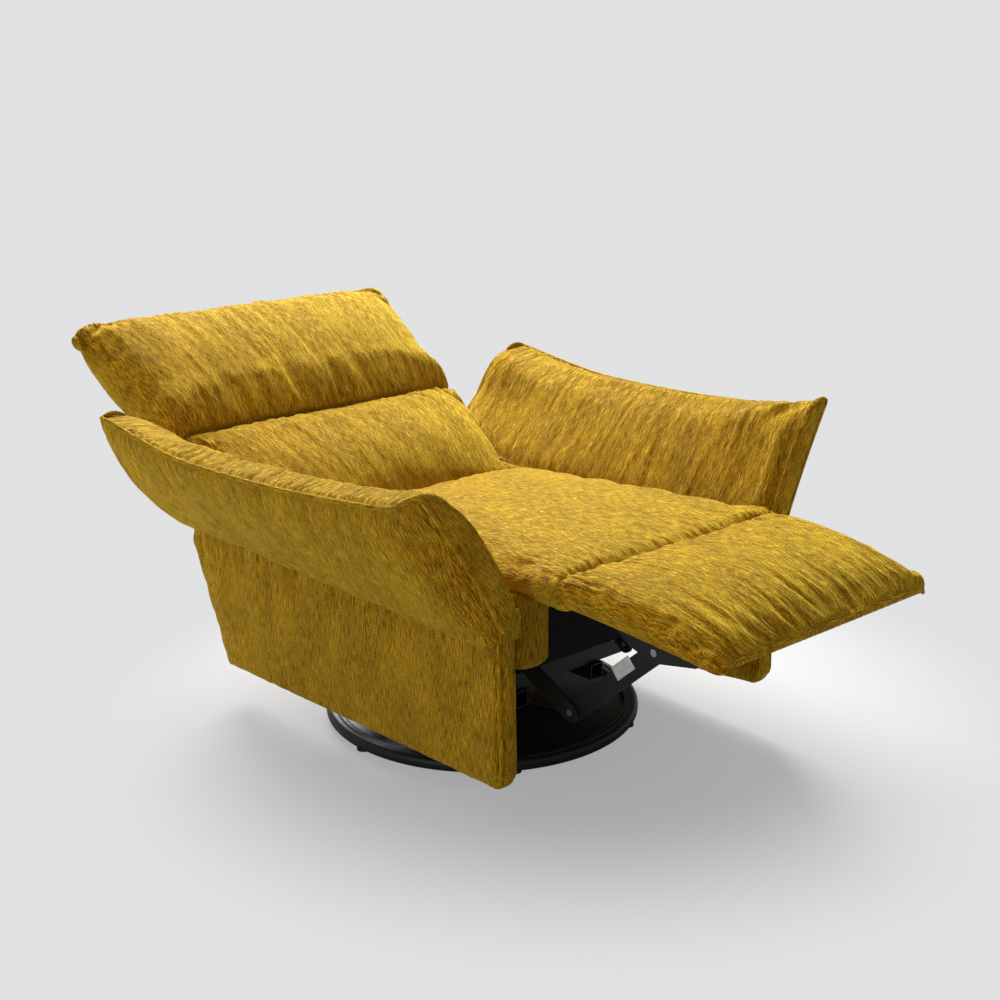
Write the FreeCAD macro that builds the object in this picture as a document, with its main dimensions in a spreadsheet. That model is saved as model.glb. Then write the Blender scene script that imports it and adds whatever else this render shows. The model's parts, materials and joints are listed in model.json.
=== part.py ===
import FreeCAD, Part
import math
import os
import re
from types import SimpleNamespace

import Sketcher

# Power recliner on a swivel base, seen reclined with its footrest out.
# The sitter faces -Y, the floor is Z = 0 and the swivel axis is the Z axis.
# Lengths are in millimetres and angles in degrees.
# "left" is the sitter's left, +X, and "right" is -X.

SIZES = {
    # base: ring on glides, dished plate, column
    "ring_radius": 300, "ring_width": 26, "ring_height": 22, "ring_round": 8,
    "glide_height": 4, "glide_radius": 13,
    "plate_thickness": 3, "plate_rise": 15, "plate_lift": 5,
    "rib_height": 9, "rib_inner_width": 46, "rib_outer_width": 96, "rib_slot_width": 12,
    "hub_radius": 74, "column_radius": 29, "frame_depth": 319,
    "race_radius": 84, "race_thickness": 5, "slide_thickness": 2.5,
    # fits
    "turn_gap": 0.3, "press_gap": 0.05, "soft_gap": 0.3, "knee_gap": 0.6,
    # seat frame
    "swivel_plate_side": 240, "swivel_plate_thickness": 6,
    "rail_side": 30, "rail_wall": 2, "rail_spread": 95, "rail_front": 215, "rail_rear": 228,
    "front_tube_place": 190, "middle_tube_place": 92, "rear_tube_place": 205,
    "side_plate_inner": 194, "side_plate_thickness": 4,
    # pivots: how far in front of or behind the swivel axis, and how high
    "knee_front": 467, "knee_rise": 13, "knee_radius": 32,
    "crank_back": 180, "crank_drop": 159,
    "reach_forward": 143, "reach_drop": 70,
    "hip_rear": 235, "hip_drop": 51, "hip_radius": 34,
    "pin_radius": 6, "pin_head_radius": 10, "pin_head_thickness": 3,
    "ear_radius": 14, "crank_ear_radius": 21,
    # footrest linkage
    "link_thickness": 6, "link_half_width": 17, "link_inner": 184, "coupler_inner": 176,
    "torque_tube_radius": 12, "footrest_fold": 85,
    "notch_radius": 4, "notch_pitch": 17, "bar_end_front": 700,
    # seat
    "seat_half_width": 275, "block_inner": 198, "block_outer": 278, "block_front": 400,
    "block_rear": 199, "block_front_drop": 133, "block_rear_drop": 165, "block_round": 18,
    "deck_front_height": 403, "deck_slope": 6.45, "seat_crown": 26, "edge_drop": 7,
    "side_draw": 7, "lip_drop": 14, "seat_rear_back": 38, "seat_rear_up": 34,
    "strap_width": 52, "strap_thickness": 2.5, "strap_pitch": 76,
    "deck_rail_width": 40, "deck_rail_height": 18,
    # footrest
    "footrest_front": 800, "footrest_front_half_width": 247, "footrest_rear_drop": 7,
    "footrest_front_drop": 30, "footrest_seam_drop": 7, "footrest_crown": 16,
    "footrest_nose": 8, "groove_angle": 72, "corner_round": 22,
    "apron_front": 352, "apron_drop": 129, "apron_thickness": 2,
    "board_rear": 572, "board_front": 762, "board_half_width": 222, "board_thickness": 18,
    "slot_inner": 170, "slot_outer": 206, "slot_skin": 16,
    # side panels
    "panel_inner": 286, "panel_thickness": 50, "panel_drop": 31, "panel_front": 432,
    "panel_bottom_front": 84, "panel_bottom_rear": 58, "panel_rear_low": 378,
    "panel_rear_mid": 488, "panel_rear_mid_drop": 78, "panel_rear_high": 458,
    "panel_top_front": 424, "panel_corner_round": 62,
    "panel_edge_round": 17, "spacer_radius": 16,
    # arms
    "arm_front": 437, "arm_rear": 455, "arm_lean": 22, "arm_tip_out": 503, "arm_rise": 220,
    "arm_tip_twist": 21, "arm_tip_sag": 22,
    "arm_tip_fall": 15, "arm_strip_width": 34, "arm_strip_drop": 12, "arm_inner_foot": 292,
    "arm_rear_spread": 17, "arm_inner_bulge": 18, "arm_outer_bulge": 24,
    "arm_lip_drop": 40, "lip_width": 15, "lip_gap": 2.3, "arm_board_inner": 298,
    "arm_board_thickness": 10, "arm_board_half_length": 420, "leaf_thickness": 2,
    "barrel_radius": 3.5, "barrel_place": 291,
    # back
    "recline": 27, "back_rise": 48, "back_length": 300, "back_front": 34, "back_depth": 54,
    "recess_depth": 16, "recess_wall": 14, "back_cover_low": 54,
    "back_low_half_width": 272, "back_high_half_width": 332, "back_crown": 25, "side_swell": 5,
    "upright_depth": 32, "upright_half_width": 11.5, "cover_thickness": 10,
    "cover_edge_round": 4, "back_tube_radius": 10, "back_tube_low": 34, "back_tube_high": 258,
    "crease_angle": 14,
    # head
    "head_length": 352, "head_top_half_width": 386, "head_crown": 30, "head_tube_place": 455,
    "head_recess": 180,
    # drives
    "drive_offset": 58, "drive_rod_radius": 10, "drive_tube_radius": 17, "drive_eye_radius": 11,
    "drive_eye_thickness": 10, "drive_pin_radius": 5, "drive_wall": 1,
    "footrest_lever": 45, "footrest_stroke": 78.4, "footrest_slot_half": 7.3,
    "back_lever": 70, "back_stroke": 61.8, "back_slot_half": 6,
    "lever_thickness": 6, "lever_half_width": 15,
    "drive_tube_length": 250, "footrest_drive_front": 190, "back_drive_front": 150,
    "gearbox_length": 40, "gearbox_width": 74, "gearbox_height": 46, "motor_radius": 18,
    "motor_length": 78, "motor_offset": 38, "bracket_thickness": 5, "bracket_width": 30,
    # supply and controls
    "supply_length": 210, "supply_width": 76, "supply_height": 34, "gland_radius": 7,
    "gland_length": 9,
    "control_length": 118, "control_width": 30, "control_depth": 14, "control_proud": 2,
    "button_radius": 7.5, "button_height": 6, "button_proud": 2, "button_pitch": 26,
    "button_travel": 1.2, "button_gap": 0.4,
    # one overrun for every cut
    "over": 5,
}

# heights that follow another: what each is measured from, and the size that is added or taken off
LEVELS = {
    "column_top": ("deck_front_height", -1, "frame_depth"),
    "knee_height": ("deck_front_height", 1, "knee_rise"),
    "hip_height": ("deck_front_height", -1, "hip_drop"),
    "block_front_bottom": ("deck_front_height", -1, "block_front_drop"),
    "block_rear_bottom": ("deck_front_height", -1, "block_rear_drop"),
    "apron_low": ("deck_front_height", -1, "apron_drop"),
    "footrest_bottom_rear": ("knee_height", -1, "footrest_rear_drop"),
    "footrest_bottom_front": ("knee_height", -1, "footrest_front_drop"),
    "footrest_seam_height": ("knee_height", -1, "footrest_seam_drop"),
    "panel_top": ("deck_front_height", -1, "panel_drop"),
    "panel_rear_mid_height": ("panel_top", -1, "panel_rear_mid_drop"),
    "arm_tip_height": ("panel_top", 1, "arm_rise"),
    "lip_bottom": ("panel_top", -1, "arm_lip_drop"),
}

GLIDES = 6
RIBS = 5
STRAPS = 5
NOTCHES = 3
BUTTONS = 4
KNUCKLES = 6
SPACER_FRONT_SHARE = 0.8
SPACER_REAR_SHARE = 0.7
STRAP_LENGTH_SHARE = 0.97
RAIL_SHARES = (("front", 0.03), ("rear", 0.9))
DOME_SHARE = 0.82
HUB_SHARE = 0.52632
QUARTER_TURN = 90
SIDES = (("left", 1), ("right", -1))
X_AXIS = FreeCAD.Vector(1, 0, 0)
Y_AXIS = FreeCAD.Vector(0, 1, 0)
Z_AXIS = FreeCAD.Vector(0, 0, 1)

doc = FreeCAD.newDocument("power_recliner")
sheet = doc.addObject("Spreadsheet::Sheet", "Sizes")
for row, (alias, value) in enumerate(SIZES.items(), start=1):
    sheet.set(f"A{row}", alias)
    sheet.set(f"B{row}", str(value))
    sheet.setAlias(f"B{row}", alias)
doc.recompute()
s = SimpleNamespace(**{alias: float(sheet.get(alias)) for alias in SIZES})
for level, (start, sign, step) in LEVELS.items():
    setattr(s, level, getattr(s, start) + sign * getattr(s, step))

nodes = []


# Helpers: bound sizes, primitives, booleans, sketches

def refer(expression):
    """The expression with every size's name pointing at its cell, and every level worked out from sizes."""
    return re.sub(r"[a-z]+(?:_[a-z]+)*", lambda word: cell(word.group()), expression)


def cell(word):
    """A size as its cell, a level as the sum that gives it, or the word itself."""
    if word in LEVELS:
        start, sign, step = LEVELS[word]
        return f"({cell(start)} {'+' if sign > 0 else '-'} {cell(step)})"
    return "Sizes." + word if word in SIZES else word


def bind(item, bindings):
    """Ties each property path of the item to an expression on the sheet."""
    for path, expression in bindings.items():
        item.setExpression(path, refer(expression))


def place(item, x, y, z):
    """Ties the item's position to three expressions."""
    bind(item, {"Placement.Base.x": x, "Placement.Base.y": y, "Placement.Base.z": z})


def turn(item, axis, angle):
    """Turns the item about an axis by an angle on the sheet."""
    item.Placement = FreeCAD.Placement(item.Placement.Base, FreeCAD.Rotation(axis, 1))
    bind(item, {"Placement.Rotation.Angle": angle})


def node(item, label):
    """Marks the item as a finished piece, with the label that names its file."""
    item.Label = label
    nodes.append(item)
    return item


def box(name, corner, sides):
    """A box from its lowest corner and its three side lengths."""
    item = doc.addObject("Part::Box", name)
    bind(item, dict(zip(("Length", "Width", "Height"), sides)))
    place(item, *corner)
    return item


def rod(name, start, radius, length, axis=Z_AXIS):
    """A cylinder from the centre of its first end, along an axis."""
    item = doc.addObject("Part::Cylinder", name)
    item.Placement = FreeCAD.Placement(FreeCAD.Vector(), FreeCAD.Rotation(Z_AXIS, axis))
    bind(item, {"Radius": radius, "Height": length})
    place(item, *start)
    return item


def group_of(name, parts):
    """Separate solids of one kind, kept together as one piece."""
    item = doc.addObject("Part::Compound", name + "_group")
    item.Links = parts
    return item


def fuse(name, parts):
    """One solid made of overlapping or touching parts."""
    item = doc.addObject("Part::MultiFuse", name)
    item.Shapes = parts
    item.Refine = True
    return item


def cut(name, base, tools):
    """The base with every tool taken out of it."""
    item = doc.addObject("Part::Cut", name)
    item.Base = base
    item.Tool = tools[0] if len(tools) == 1 else fuse(name + "_tools", tools)
    item.Refine = True
    return item


def low_x(side, inner, thickness):
    """The lowest x of a piece that lies from inner to inner + thickness on its side."""
    return inner if side > 0 else f"-({inner}) - ({thickness})"


def origin_plane(body, role):
    """The body's own origin plane with this role."""
    return [plane for plane in body.Origin.OriginFeatures if plane.Role == role][0]


def outline(body, role, corners, holes=()):
    """A sketch on an origin plane: one closed polygon, and holes as (across, up, radius)."""
    drawing = body.newObject("Sketcher::SketchObject", body.Name + "_outline")
    drawing.AttachmentSupport = (origin_plane(body, role), [""])
    drawing.MapMode = "FlatFace"
    count = len(corners)
    turns = [2 * math.pi * index / count for index in range(count + 1)]
    ring = [FreeCAD.Vector(math.cos(angle), math.sin(angle), 0) for angle in turns]
    for index in range(count):
        drawing.addGeometry(Part.LineSegment(ring[index], ring[(index + 1) % count]), False)
    for index in range(count):
        drawing.addConstraint(Sketcher.Constraint("Coincident", index, 2, (index + 1) % count, 1))
    for index, corner in enumerate(corners):
        pin_down(drawing, index, 1, corner)
    for across, up, radius in holes:
        index = drawing.addGeometry(Part.Circle(FreeCAD.Vector(), Z_AXIS, 1), False)
        pin_down(drawing, index, 3, (across, up))
        number = drawing.addConstraint(Sketcher.Constraint("Radius", index, 1))
        drawing.setExpression(f"Constraints[{number}]", refer(radius))
    return drawing


def pin_down(drawing, geometry, point, place_of_point):
    """Holds one point of a sketch at two bound distances from the origin."""
    for kind, expression in zip(("DistanceX", "DistanceY"), place_of_point):
        number = drawing.addConstraint(Sketcher.Constraint(kind, -1, 1, geometry, point, 1))
        drawing.setExpression(f"Constraints[{number}]", refer(expression))


def padded_plate(name, corners, thickness, x, holes=()):
    """A PartDesign body: an outline in the YZ plane, padded along X from x."""
    body = doc.addObject("PartDesign::Body", name)
    pad = body.newObject("PartDesign::Pad", name + "_pad")
    pad.Profile = outline(body, "YZ_Plane", corners, holes)
    bind(pad, {"Length": thickness})
    body.Tip = pad
    bind(body, {"Placement.Base.x": x})
    return body


def bar(name, x, thickness, start, angle, length, half_width):
    """A flat bar in a YZ plane, from start along an angle, with round ends about both centres."""
    middle = doc.addObject("Part::Box", name + "_middle")
    turn(middle, X_AXIS, angle)
    bind(middle, {"Length": thickness, "Width": length, "Height": f"2 * ({half_width})"})
    place(middle, x, f"{start[0]} + ({half_width}) * sin({angle})",
          f"{start[1]} - ({half_width}) * cos({angle})")
    ends = [rod(f"{name}_end", (x, f"{start[0]} + ({reach}) * cos({angle})",
                                f"{start[1]} + ({reach}) * sin({angle})"),
                half_width, thickness, X_AXIS) for reach in ("0", length)]
    return fuse(name + "_bar", [middle] + ends)


def tube_along(name, corner, length, axis):
    """A square tube with its lowest corner given, open at both ends."""
    along_x = axis == "x"
    outer = box(name + "_outside", corner,
                (length, "rail_side", "rail_side") if along_x else ("rail_side", length, "rail_side"))
    shift = ["-over", "rail_wall", "rail_wall"] if along_x else ["rail_wall", "-over", "rail_wall"]
    inner_corner = [f"{place_of} + ({step})" for place_of, step in zip(corner, shift)]
    inner_side = "rail_side - 2 * rail_wall"
    run = f"{length} + 2 * over"
    inner = box(name + "_inside", inner_corner,
                (run, inner_side, inner_side) if along_x else (inner_side, run, inner_side))
    return cut(name, outer, [inner])


def vector(x, y, z):
    """A point or direction."""
    return FreeCAD.Vector(x, y, z)


def closed_wire(start, steps):
    """A closed wire from start through steps: one point is a line's end, two an arc's middle and end."""
    edges = []
    here = start
    for step in steps:
        if len(step) == 2:
            edges.append(Part.Arc(here, step[0], step[1]).toShape())
        else:
            edges.append(Part.LineSegment(here, step[0]).toShape())
        here = step[-1]
    return Part.Wire(edges)


def loft(wires):
    """A solid that passes smoothly through closed wires with matching edges."""
    return Part.makeLoft(wires, True, True)


def block(low, high):
    """A plain box between two corners, used as a cutter."""
    return Part.makeBox(high[0] - low[0], high[1] - low[1], high[2] - low[2], vector(*low))


def soft(label, shape, placement=None):
    """A soft piece, whose own shape is worked out from the sizes."""
    item = doc.addObject("Part::Feature", label)
    item.Shape = shape
    if placement is not None:
        item.Placement = placement
    return node(item, label)


# Levels and places that several pieces share

RING_TOP = "glide_height + ring_height"
RACE_TOP = "column_top + race_thickness"
SWIVEL_LOW = "column_top + race_thickness + slide_thickness + turn_gap"
RAIL_LOW = f"{SWIVEL_LOW} + swivel_plate_thickness"
TUBE_LOW = f"{RAIL_LOW} + rail_side"
TUBE_TOP = f"{TUBE_LOW} + rail_side"
KNEE = ("-knee_front", "knee_height")
CRANK = ("-knee_front + crank_back", "knee_height - crank_drop")
ELBOW = ("-knee_front + crank_back - reach_forward", "knee_height - crank_drop - reach_drop")
TOE = ("-knee_front - reach_forward", "knee_height - reach_drop")
HIP = ("hip_rear", "hip_height")
LINK_LENGTH = "sqrt(crank_back ^ 2 + crank_drop ^ 2)"
CRANK_LENGTH = "sqrt(reach_forward ^ 2 + reach_drop ^ 2)"
COUPLER_ANGLE = "180 deg - atan(crank_drop / crank_back)"
CRANK_ANGLE = "180 deg + atan(reach_drop / reach_forward)"
EAR_RUN = "sqrt(upright_depth ^ 2 + back_tube_low ^ 2)"
LINK_OUTER = "link_inner + link_thickness"
COUPLER_OUTER = "coupler_inner + link_thickness"


def deck_height(y):
    """Height of the sloping seat deck at this y."""
    return s.deck_front_height - (y + s.block_front) * math.tan(math.radians(s.deck_slope))


def back_placement():
    """Place of the back's own frame: local Y runs up the back, local Z points at the sitter."""
    return FreeCAD.Placement(vector(0, s.hip_rear, s.hip_height),
                             FreeCAD.Rotation(X_AXIS, s.recline))


def on_back(item):
    """Ties a piece that is built flat to the reclined back's frame."""
    turn(item, X_AXIS, "recline")
    place(item, "0", "hip_rear", "hip_height")
    return item


# Base

def make_base():
    """Ring on glides, dished plate with raised ribs, domed column and the lower race."""
    body = doc.addObject("PartDesign::Body", "base_ring_body")
    inner, shoulder = "ring_radius - ring_width", f"{RING_TOP} - ring_round"
    drawing = outline(body, "XZ_Plane", [
        (inner, "glide_height"), ("ring_radius - ring_round / 4", "glide_height"),
        ("ring_radius", "glide_height + ring_round / 2"), ("ring_radius", shoulder),
        ("ring_radius - ring_round / 3", f"{RING_TOP} - ring_round / 3"),
        ("ring_radius - ring_round", RING_TOP),
        (f"{inner} + ring_round", RING_TOP), (inner, shoulder)])
    turned = body.newObject("PartDesign::Revolution", "base_ring_turned")
    turned.Profile = drawing
    turned.ReferenceAxis = (drawing, ["V_Axis"])
    turned.Angle = 360
    body.Tip = turned
    node(body, "base_ring")

    glides = []
    for index in range(GLIDES):
        angle = f"{360 / GLIDES} * {index}"
        glides.append(rod("glide", (f"(ring_radius - ring_width / 2) * cos({angle})",
                                    f"(ring_radius - ring_width / 2) * sin({angle})", "0"),
                          "glide_radius", "glide_height"))
    node(group_of("glides", glides), "floor_glides")

    node(dished_plate(), "base_plate")
    node(column(), "base_column")
    race = cut("race", rod("race_disc", ("0", "0", "column_top"), "race_radius", "race_thickness"),
               [rod("race_bore", ("0", "0", "column_top - over"), "column_radius / 2",
                    "race_thickness + 2 * over")])
    node(race, "swivel_race")
    slide = cut("slide", rod("slide_disc", ("0", "0", RACE_TOP), "race_radius - over",
                             "slide_thickness"),
                [rod("slide_bore", ("0", "0", f"{RACE_TOP} - over"), "column_radius / 2",
                     "slide_thickness + 2 * over")])
    node(slide, "slide_ring")


def dished_plate():
    """A thin plate that dips from the hub to the ring, with wide pressed ribs and a slot in each."""
    inner = "hub_radius - over"
    outer = "ring_radius - ring_width - press_gap"
    low = "glide_height + plate_lift"
    body = doc.addObject("PartDesign::Body", "base_plate_body")
    drawing = outline(body, "XZ_Plane", [
        (inner, f"{low} + plate_rise"), (outer, low),
        (outer, f"{low} + plate_thickness"), (inner, f"{low} + plate_rise + plate_thickness")])
    turned = body.newObject("PartDesign::Revolution", "base_plate_turned")
    turned.Profile = drawing
    turned.ReferenceAxis = (drawing, ["V_Axis"])
    turned.Angle = 360
    body.Tip = turned

    ribs = []
    slots = []
    reach = "ring_radius - ring_width - over"
    slot_place = "hub_radius + rib_outer_width"
    for index in range(RIBS):
        angle = 360 / RIBS * (index + 0.5) - QUARTER_TURN
        rib = doc.addObject("PartDesign::Body", "rib_body")
        pad = rib.newObject("PartDesign::Pad", "rib_pad")
        pad.Profile = outline(rib, "XY_Plane", [
            ("hub_radius", "-rib_inner_width / 2"), (reach, "-rib_outer_width / 2"),
            (reach, "rib_outer_width / 2"), ("hub_radius", "rib_inner_width / 2")])
        bind(pad, {"Length": "plate_rise + rib_height - plate_lift"})
        rib.Tip = pad
        rib.Placement = FreeCAD.Placement(FreeCAD.Vector(), FreeCAD.Rotation(Z_AXIS, angle))
        place(rib, "0", "0", f"{low} + plate_thickness / 2")
        ribs.append(rib)
        slot = box("rib_slot", ("0", "0", "0"), ("rib_inner_width", "rib_slot_width", "2 * ring_height"))
        slot.Placement = FreeCAD.Placement(FreeCAD.Vector(), FreeCAD.Rotation(Z_AXIS, angle))
        place(slot, f"({slot_place}) * cos({angle}) + rib_slot_width / 2 * sin({angle})",
              f"({slot_place}) * sin({angle}) - rib_slot_width / 2 * cos({angle})", "0")
        slots.append(slot)
    cone = doc.addObject("Part::Cone", "plate_cone")
    bind(cone, {"Radius1": "ring_radius - ring_width", "Radius2": "hub_radius",
                "Height": "plate_rise + rib_height"})
    place(cone, "0", "0", low)
    dished_ribs = doc.addObject("Part::Common", "plate_ribs")
    dished_ribs.Base = fuse("rib_star", ribs)
    dished_ribs.Tool = cone
    return cut("base_plate_cut", fuse("base_plate_stock", [body, dished_ribs]), slots)


def column():
    """The turned hub: a low dome that narrows into the column that carries the race."""
    foot = s.glide_height + s.plate_lift + s.plate_rise + s.plate_thickness
    height = (s.column_top - foot) * HUB_SHARE
    crown = foot + height
    profile = closed_wire(vector(0, 0, foot), [
        (vector(s.hub_radius, 0, foot),),
        (vector(s.hub_radius, 0, foot + height / 4),),
        (vector(s.hub_radius * DOME_SHARE, 0, crown - height / 4),),
        (vector(s.column_radius + s.ring_round, 0, crown),),
        (vector(s.column_radius, 0, crown + s.ring_round / 2),),
        (vector(s.column_radius, 0, s.column_top),),
        (vector(0, 0, s.column_top),),
        (vector(0, 0, foot),)])
    item = doc.addObject("Part::Feature", "column_turned")
    item.Shape = Part.Face(profile).revolve(FreeCAD.Vector(), Z_AXIS, 360)
    return item


# Seat frame

def make_seat_frame():
    """Swivel plate, rails, cross tubes and the two steel side plates that hold every pivot."""
    half = "swivel_plate_side / 2"
    swivel = cut("swivel", box("swivel_stock", (f"-{half}", f"-{half}", SWIVEL_LOW),
                               ("swivel_plate_side", "swivel_plate_side", "swivel_plate_thickness")),
                 [rod("swivel_bore", ("0", "0", f"{SWIVEL_LOW} - over"), "column_radius / 2",
                      "swivel_plate_thickness + 2 * over")])
    node(swivel, "swivel_plate")
    for side_name, side in SIDES:
        x = "rail_spread - rail_side / 2" if side > 0 else "-rail_spread - rail_side / 2"
        node(tube_along(f"rail_{side_name}", (x, "-rail_front", RAIL_LOW), "rail_front + rail_rear", "y"),
             f"frame_rail_{side_name}")
    for name, centre in (("front", "-front_tube_place"), ("middle", "middle_tube_place"),
                         ("rear", "rear_tube_place")):
        node(tube_along(f"{name}_tube", ("-side_plate_inner", f"{centre} - rail_side / 2", TUBE_LOW),
                        "2 * side_plate_inner", "x"), f"{name}_cross_tube")
    for side_name, side in SIDES:
        node(side_plate(side_name, side), f"side_plate_{side_name}")
    node(group_of("frame_pins", [one for side_name, side in SIDES for one in frame_pins(side_name, side)]),
         "frame_pins")


def side_plate(side_name, side):
    """A steel plate from the knee pivot to the hip pivot, on two feet that the cross tubes meet."""
    x = low_x(side, "side_plate_inner", "side_plate_thickness")
    slope = "tan(deck_slope)"
    top_front = "deck_front_height - over / 2"
    neck_front = "hip_rear - hip_radius - ear_radius"
    top_rear = f"deck_front_height - over / 2 - (block_front + {neck_front}) * {slope}"
    window_low = f"{TUBE_TOP} + rail_side"
    corners = [
        ("-knee_front", "knee_height - ear_radius"),
        ("-block_front", "knee_height - ear_radius - link_half_width - pin_radius"),
        (f"{CRANK[0]} - crank_ear_radius - ear_radius", f"{CRANK[1]} + pin_radius"),
        (f"{CRANK[0]} - crank_ear_radius * cos(45)", f"{CRANK[1]} - crank_ear_radius * sin(45)"),
        ("-front_tube_place - rail_side / 2", f"{TUBE_TOP} + rail_side"),
        ("-front_tube_place - rail_side / 2", TUBE_LOW),
        ("-front_tube_place + rail_side / 2", TUBE_LOW),
        ("-front_tube_place + rail_side / 2", window_low),
        ("-front_tube_place + 2 * rail_side", f"{window_low} + 2 * link_half_width"),
        ("rear_tube_place - 2 * rail_side", f"{window_low} + 2 * link_half_width"),
        ("rear_tube_place - rail_side / 2", window_low),
        ("rear_tube_place - rail_side / 2", TUBE_LOW),
        ("rear_tube_place + rail_side / 2", TUBE_LOW),
        ("hip_rear + ear_radius", "hip_height - 2 * hip_radius"),
        ("hip_rear + ear_radius", "hip_height"),
        ("hip_rear - ear_radius", "hip_height"),
        ("hip_rear - ear_radius", "hip_height - hip_radius - over"),
        (neck_front, "hip_height - hip_radius - over"),
        (neck_front, top_rear),
        ("-block_front + over", top_front),
        ("-knee_front", "knee_height + ear_radius"),
    ]
    plate = padded_plate(f"side_plate_{side_name}_body", corners, "side_plate_thickness", x)
    ears = [rod(f"ear_{side_name}", (x, *centre), radius, "side_plate_thickness", X_AXIS)
            for centre, radius in ((KNEE, "ear_radius"), (HIP, "ear_radius"), (CRANK, "crank_ear_radius"))]
    start = low_x(side, "side_plate_inner - over", "side_plate_thickness + 2 * over")
    holes = [rod(f"pin_hole_{side_name}", (start, *centre), "pin_radius + press_gap",
                 "side_plate_thickness + 2 * over", X_AXIS) for centre in (KNEE, HIP, CRANK)]
    return cut(f"side_plate_{side_name}_cut", fuse(f"side_plate_{side_name}_stock", [plate] + ears), holes)


def pin(name, side, centre, inner, outer):
    """A shouldered pin from inner to outer, with its head outside."""
    length = f"({outer}) - ({inner}) + pin_head_thickness"
    shank = rod(name + "_shank", (low_x(side, inner, length), *centre), "pin_radius", length, X_AXIS)
    head = rod(name + "_head", (low_x(side, outer, "pin_head_thickness"), *centre),
               "pin_head_radius", "pin_head_thickness", X_AXIS)
    return [shank, head]


def frame_pins(side_name, side):
    """The knee, crank and hip pins of one side plate."""
    inner = "link_inner + turn_gap"
    outer = "side_plate_inner + side_plate_thickness"
    return [fuse(f"pin_{index}_{side_name}", pin(f"pin_{index}_{side_name}", side, centre, inner, outer))
            for index, centre in enumerate((KNEE, CRANK, HIP))]


def make_seat():
    """Side blocks, deck rails and straps, and the seat cushion."""
    for side_name, side in SIDES:
        node(side_block(side_name, side), f"seat_block_{side_name}")
        node(side_panel(side_name, side), f"side_panel_{side_name}")
    node(group_of("panel_spacers", [one for side_name, side in SIDES for one in spacers(side_name, side)]),
         "panel_spacers")
    apron_height = "deck_front_height - deck_rail_height - apron_low - 2 * over"
    apron = box("apron", ("-side_plate_inner", "-apron_front - apron_thickness", "apron_low"),
                ("2 * side_plate_inner", "apron_thickness", apron_height))
    node(apron, "front_apron")
    node(group_of("deck_rails", [deck_rail(name, share) for name, share in RAIL_SHARES]), "deck_rails")
    node(deck_straps(), "deck_straps")
    soft("seat_cushion", seat_cushion())


def side_block(side_name, side):
    """An upholstered block beside the mechanism, with its lower inner edge rounded."""
    corners = [("-block_front", "block_front_bottom"), ("block_rear", "block_rear_bottom"),
               ("block_rear", "deck_front_height - (block_front + block_rear) * tan(deck_slope)"),
               ("-block_front", "deck_front_height")]
    x = low_x(side, "block_inner", "block_outer - block_inner")
    body = padded_plate(f"block_{side_name}", corners, "block_outer - block_inner", x)
    doc.recompute()
    pad = body.Tip
    low_edges = edges_where(pad.Shape, lambda bound: bound.ZMax < s.block_front_bottom + s.over
                            and (bound.YLength > s.over or bound.XLength < s.over))
    rounded = body.newObject("PartDesign::Fillet", f"block_{side_name}_rounded")
    rounded.Base = (pad, low_edges)
    bind(rounded, {"Radius": "block_round"})
    body.Tip = rounded
    return body


def spacers(side_name, side):
    """Four round spacers that hold the side panel off its block."""
    x = low_x(side, "block_outer", "panel_inner - block_outer")
    return [rod(f"spacer_{side_name}", (x, y, f"block_front_bottom + {rise} * spacer_radius"),
                "spacer_radius", "panel_inner - block_outer", X_AXIS)
            for y in (f"-block_front * {SPACER_FRONT_SHARE}", f"block_rear * {SPACER_REAR_SHARE}")
            for rise in (2, 4)]


def side_panel(side_name, side):
    """The tall upholstered side, round at its lower front corner and soft along its edges."""
    corners = [("-panel_front", "panel_bottom_front"), ("panel_rear_low", "panel_bottom_rear"),
               ("panel_rear_mid", "panel_rear_mid_height"), ("panel_rear_high", "panel_top"),
               ("-panel_top_front", "panel_top")]
    x = low_x(side, "panel_inner", "panel_thickness")
    body = padded_plate(f"panel_{side_name}", corners, "panel_thickness", x)
    doc.recompute()
    pad = body.Tip
    front_corner = edges_where(pad.Shape, lambda bound: bound.XLength > s.over and bound.YMax < 0
                               and bound.ZMax < s.panel_bottom_front + s.over)
    corner = body.newObject("PartDesign::Fillet", f"panel_{side_name}_corner")
    corner.Base = (pad, front_corner)
    bind(corner, {"Radius": "panel_corner_round"})
    doc.recompute()
    rims = edges_where(corner.Shape,
                       lambda bound: bound.XLength < s.over and bound.ZMin < s.panel_top - s.over)
    soft_edges = body.newObject("PartDesign::Fillet", f"panel_{side_name}_edges")
    soft_edges.Base = (corner, rims)
    bind(soft_edges, {"Radius": "panel_edge_round"})
    body.Tip = soft_edges
    return body


def edges_where(shape, wanted):
    """Names of the edges whose bounding box passes a test."""
    return [f"Edge{number}" for number, edge in enumerate(shape.Edges, start=1) if wanted(edge.BoundBox)]


def on_deck(item, y, drop):
    """Lays a piece that is built flat on the sloping deck, y along it and drop below it."""
    turn(item, X_AXIS, "-deck_slope")
    back = f"({y}) * cos(deck_slope) - ({drop}) * sin(deck_slope)"
    down = f"({y}) * sin(deck_slope) + ({drop}) * cos(deck_slope)"
    bind(item, {"Placement.Base.y": f"-block_front + {back}",
                "Placement.Base.z": f"deck_front_height - ({down})"})
    return item


def deck_rail(name, share):
    """A cross rail between the side plates, under the straps."""
    rail = doc.addObject("Part::Box", f"deck_rail_{name}_box")
    bind(rail, {"Length": "2 * side_plate_inner", "Width": "deck_rail_width", "Height": "deck_rail_height",
                "Placement.Base.x": "-side_plate_inner"})
    return on_deck(rail, f"{share} * (block_front + block_rear)",
                   "strap_thickness + soft_gap + deck_rail_height")


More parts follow.
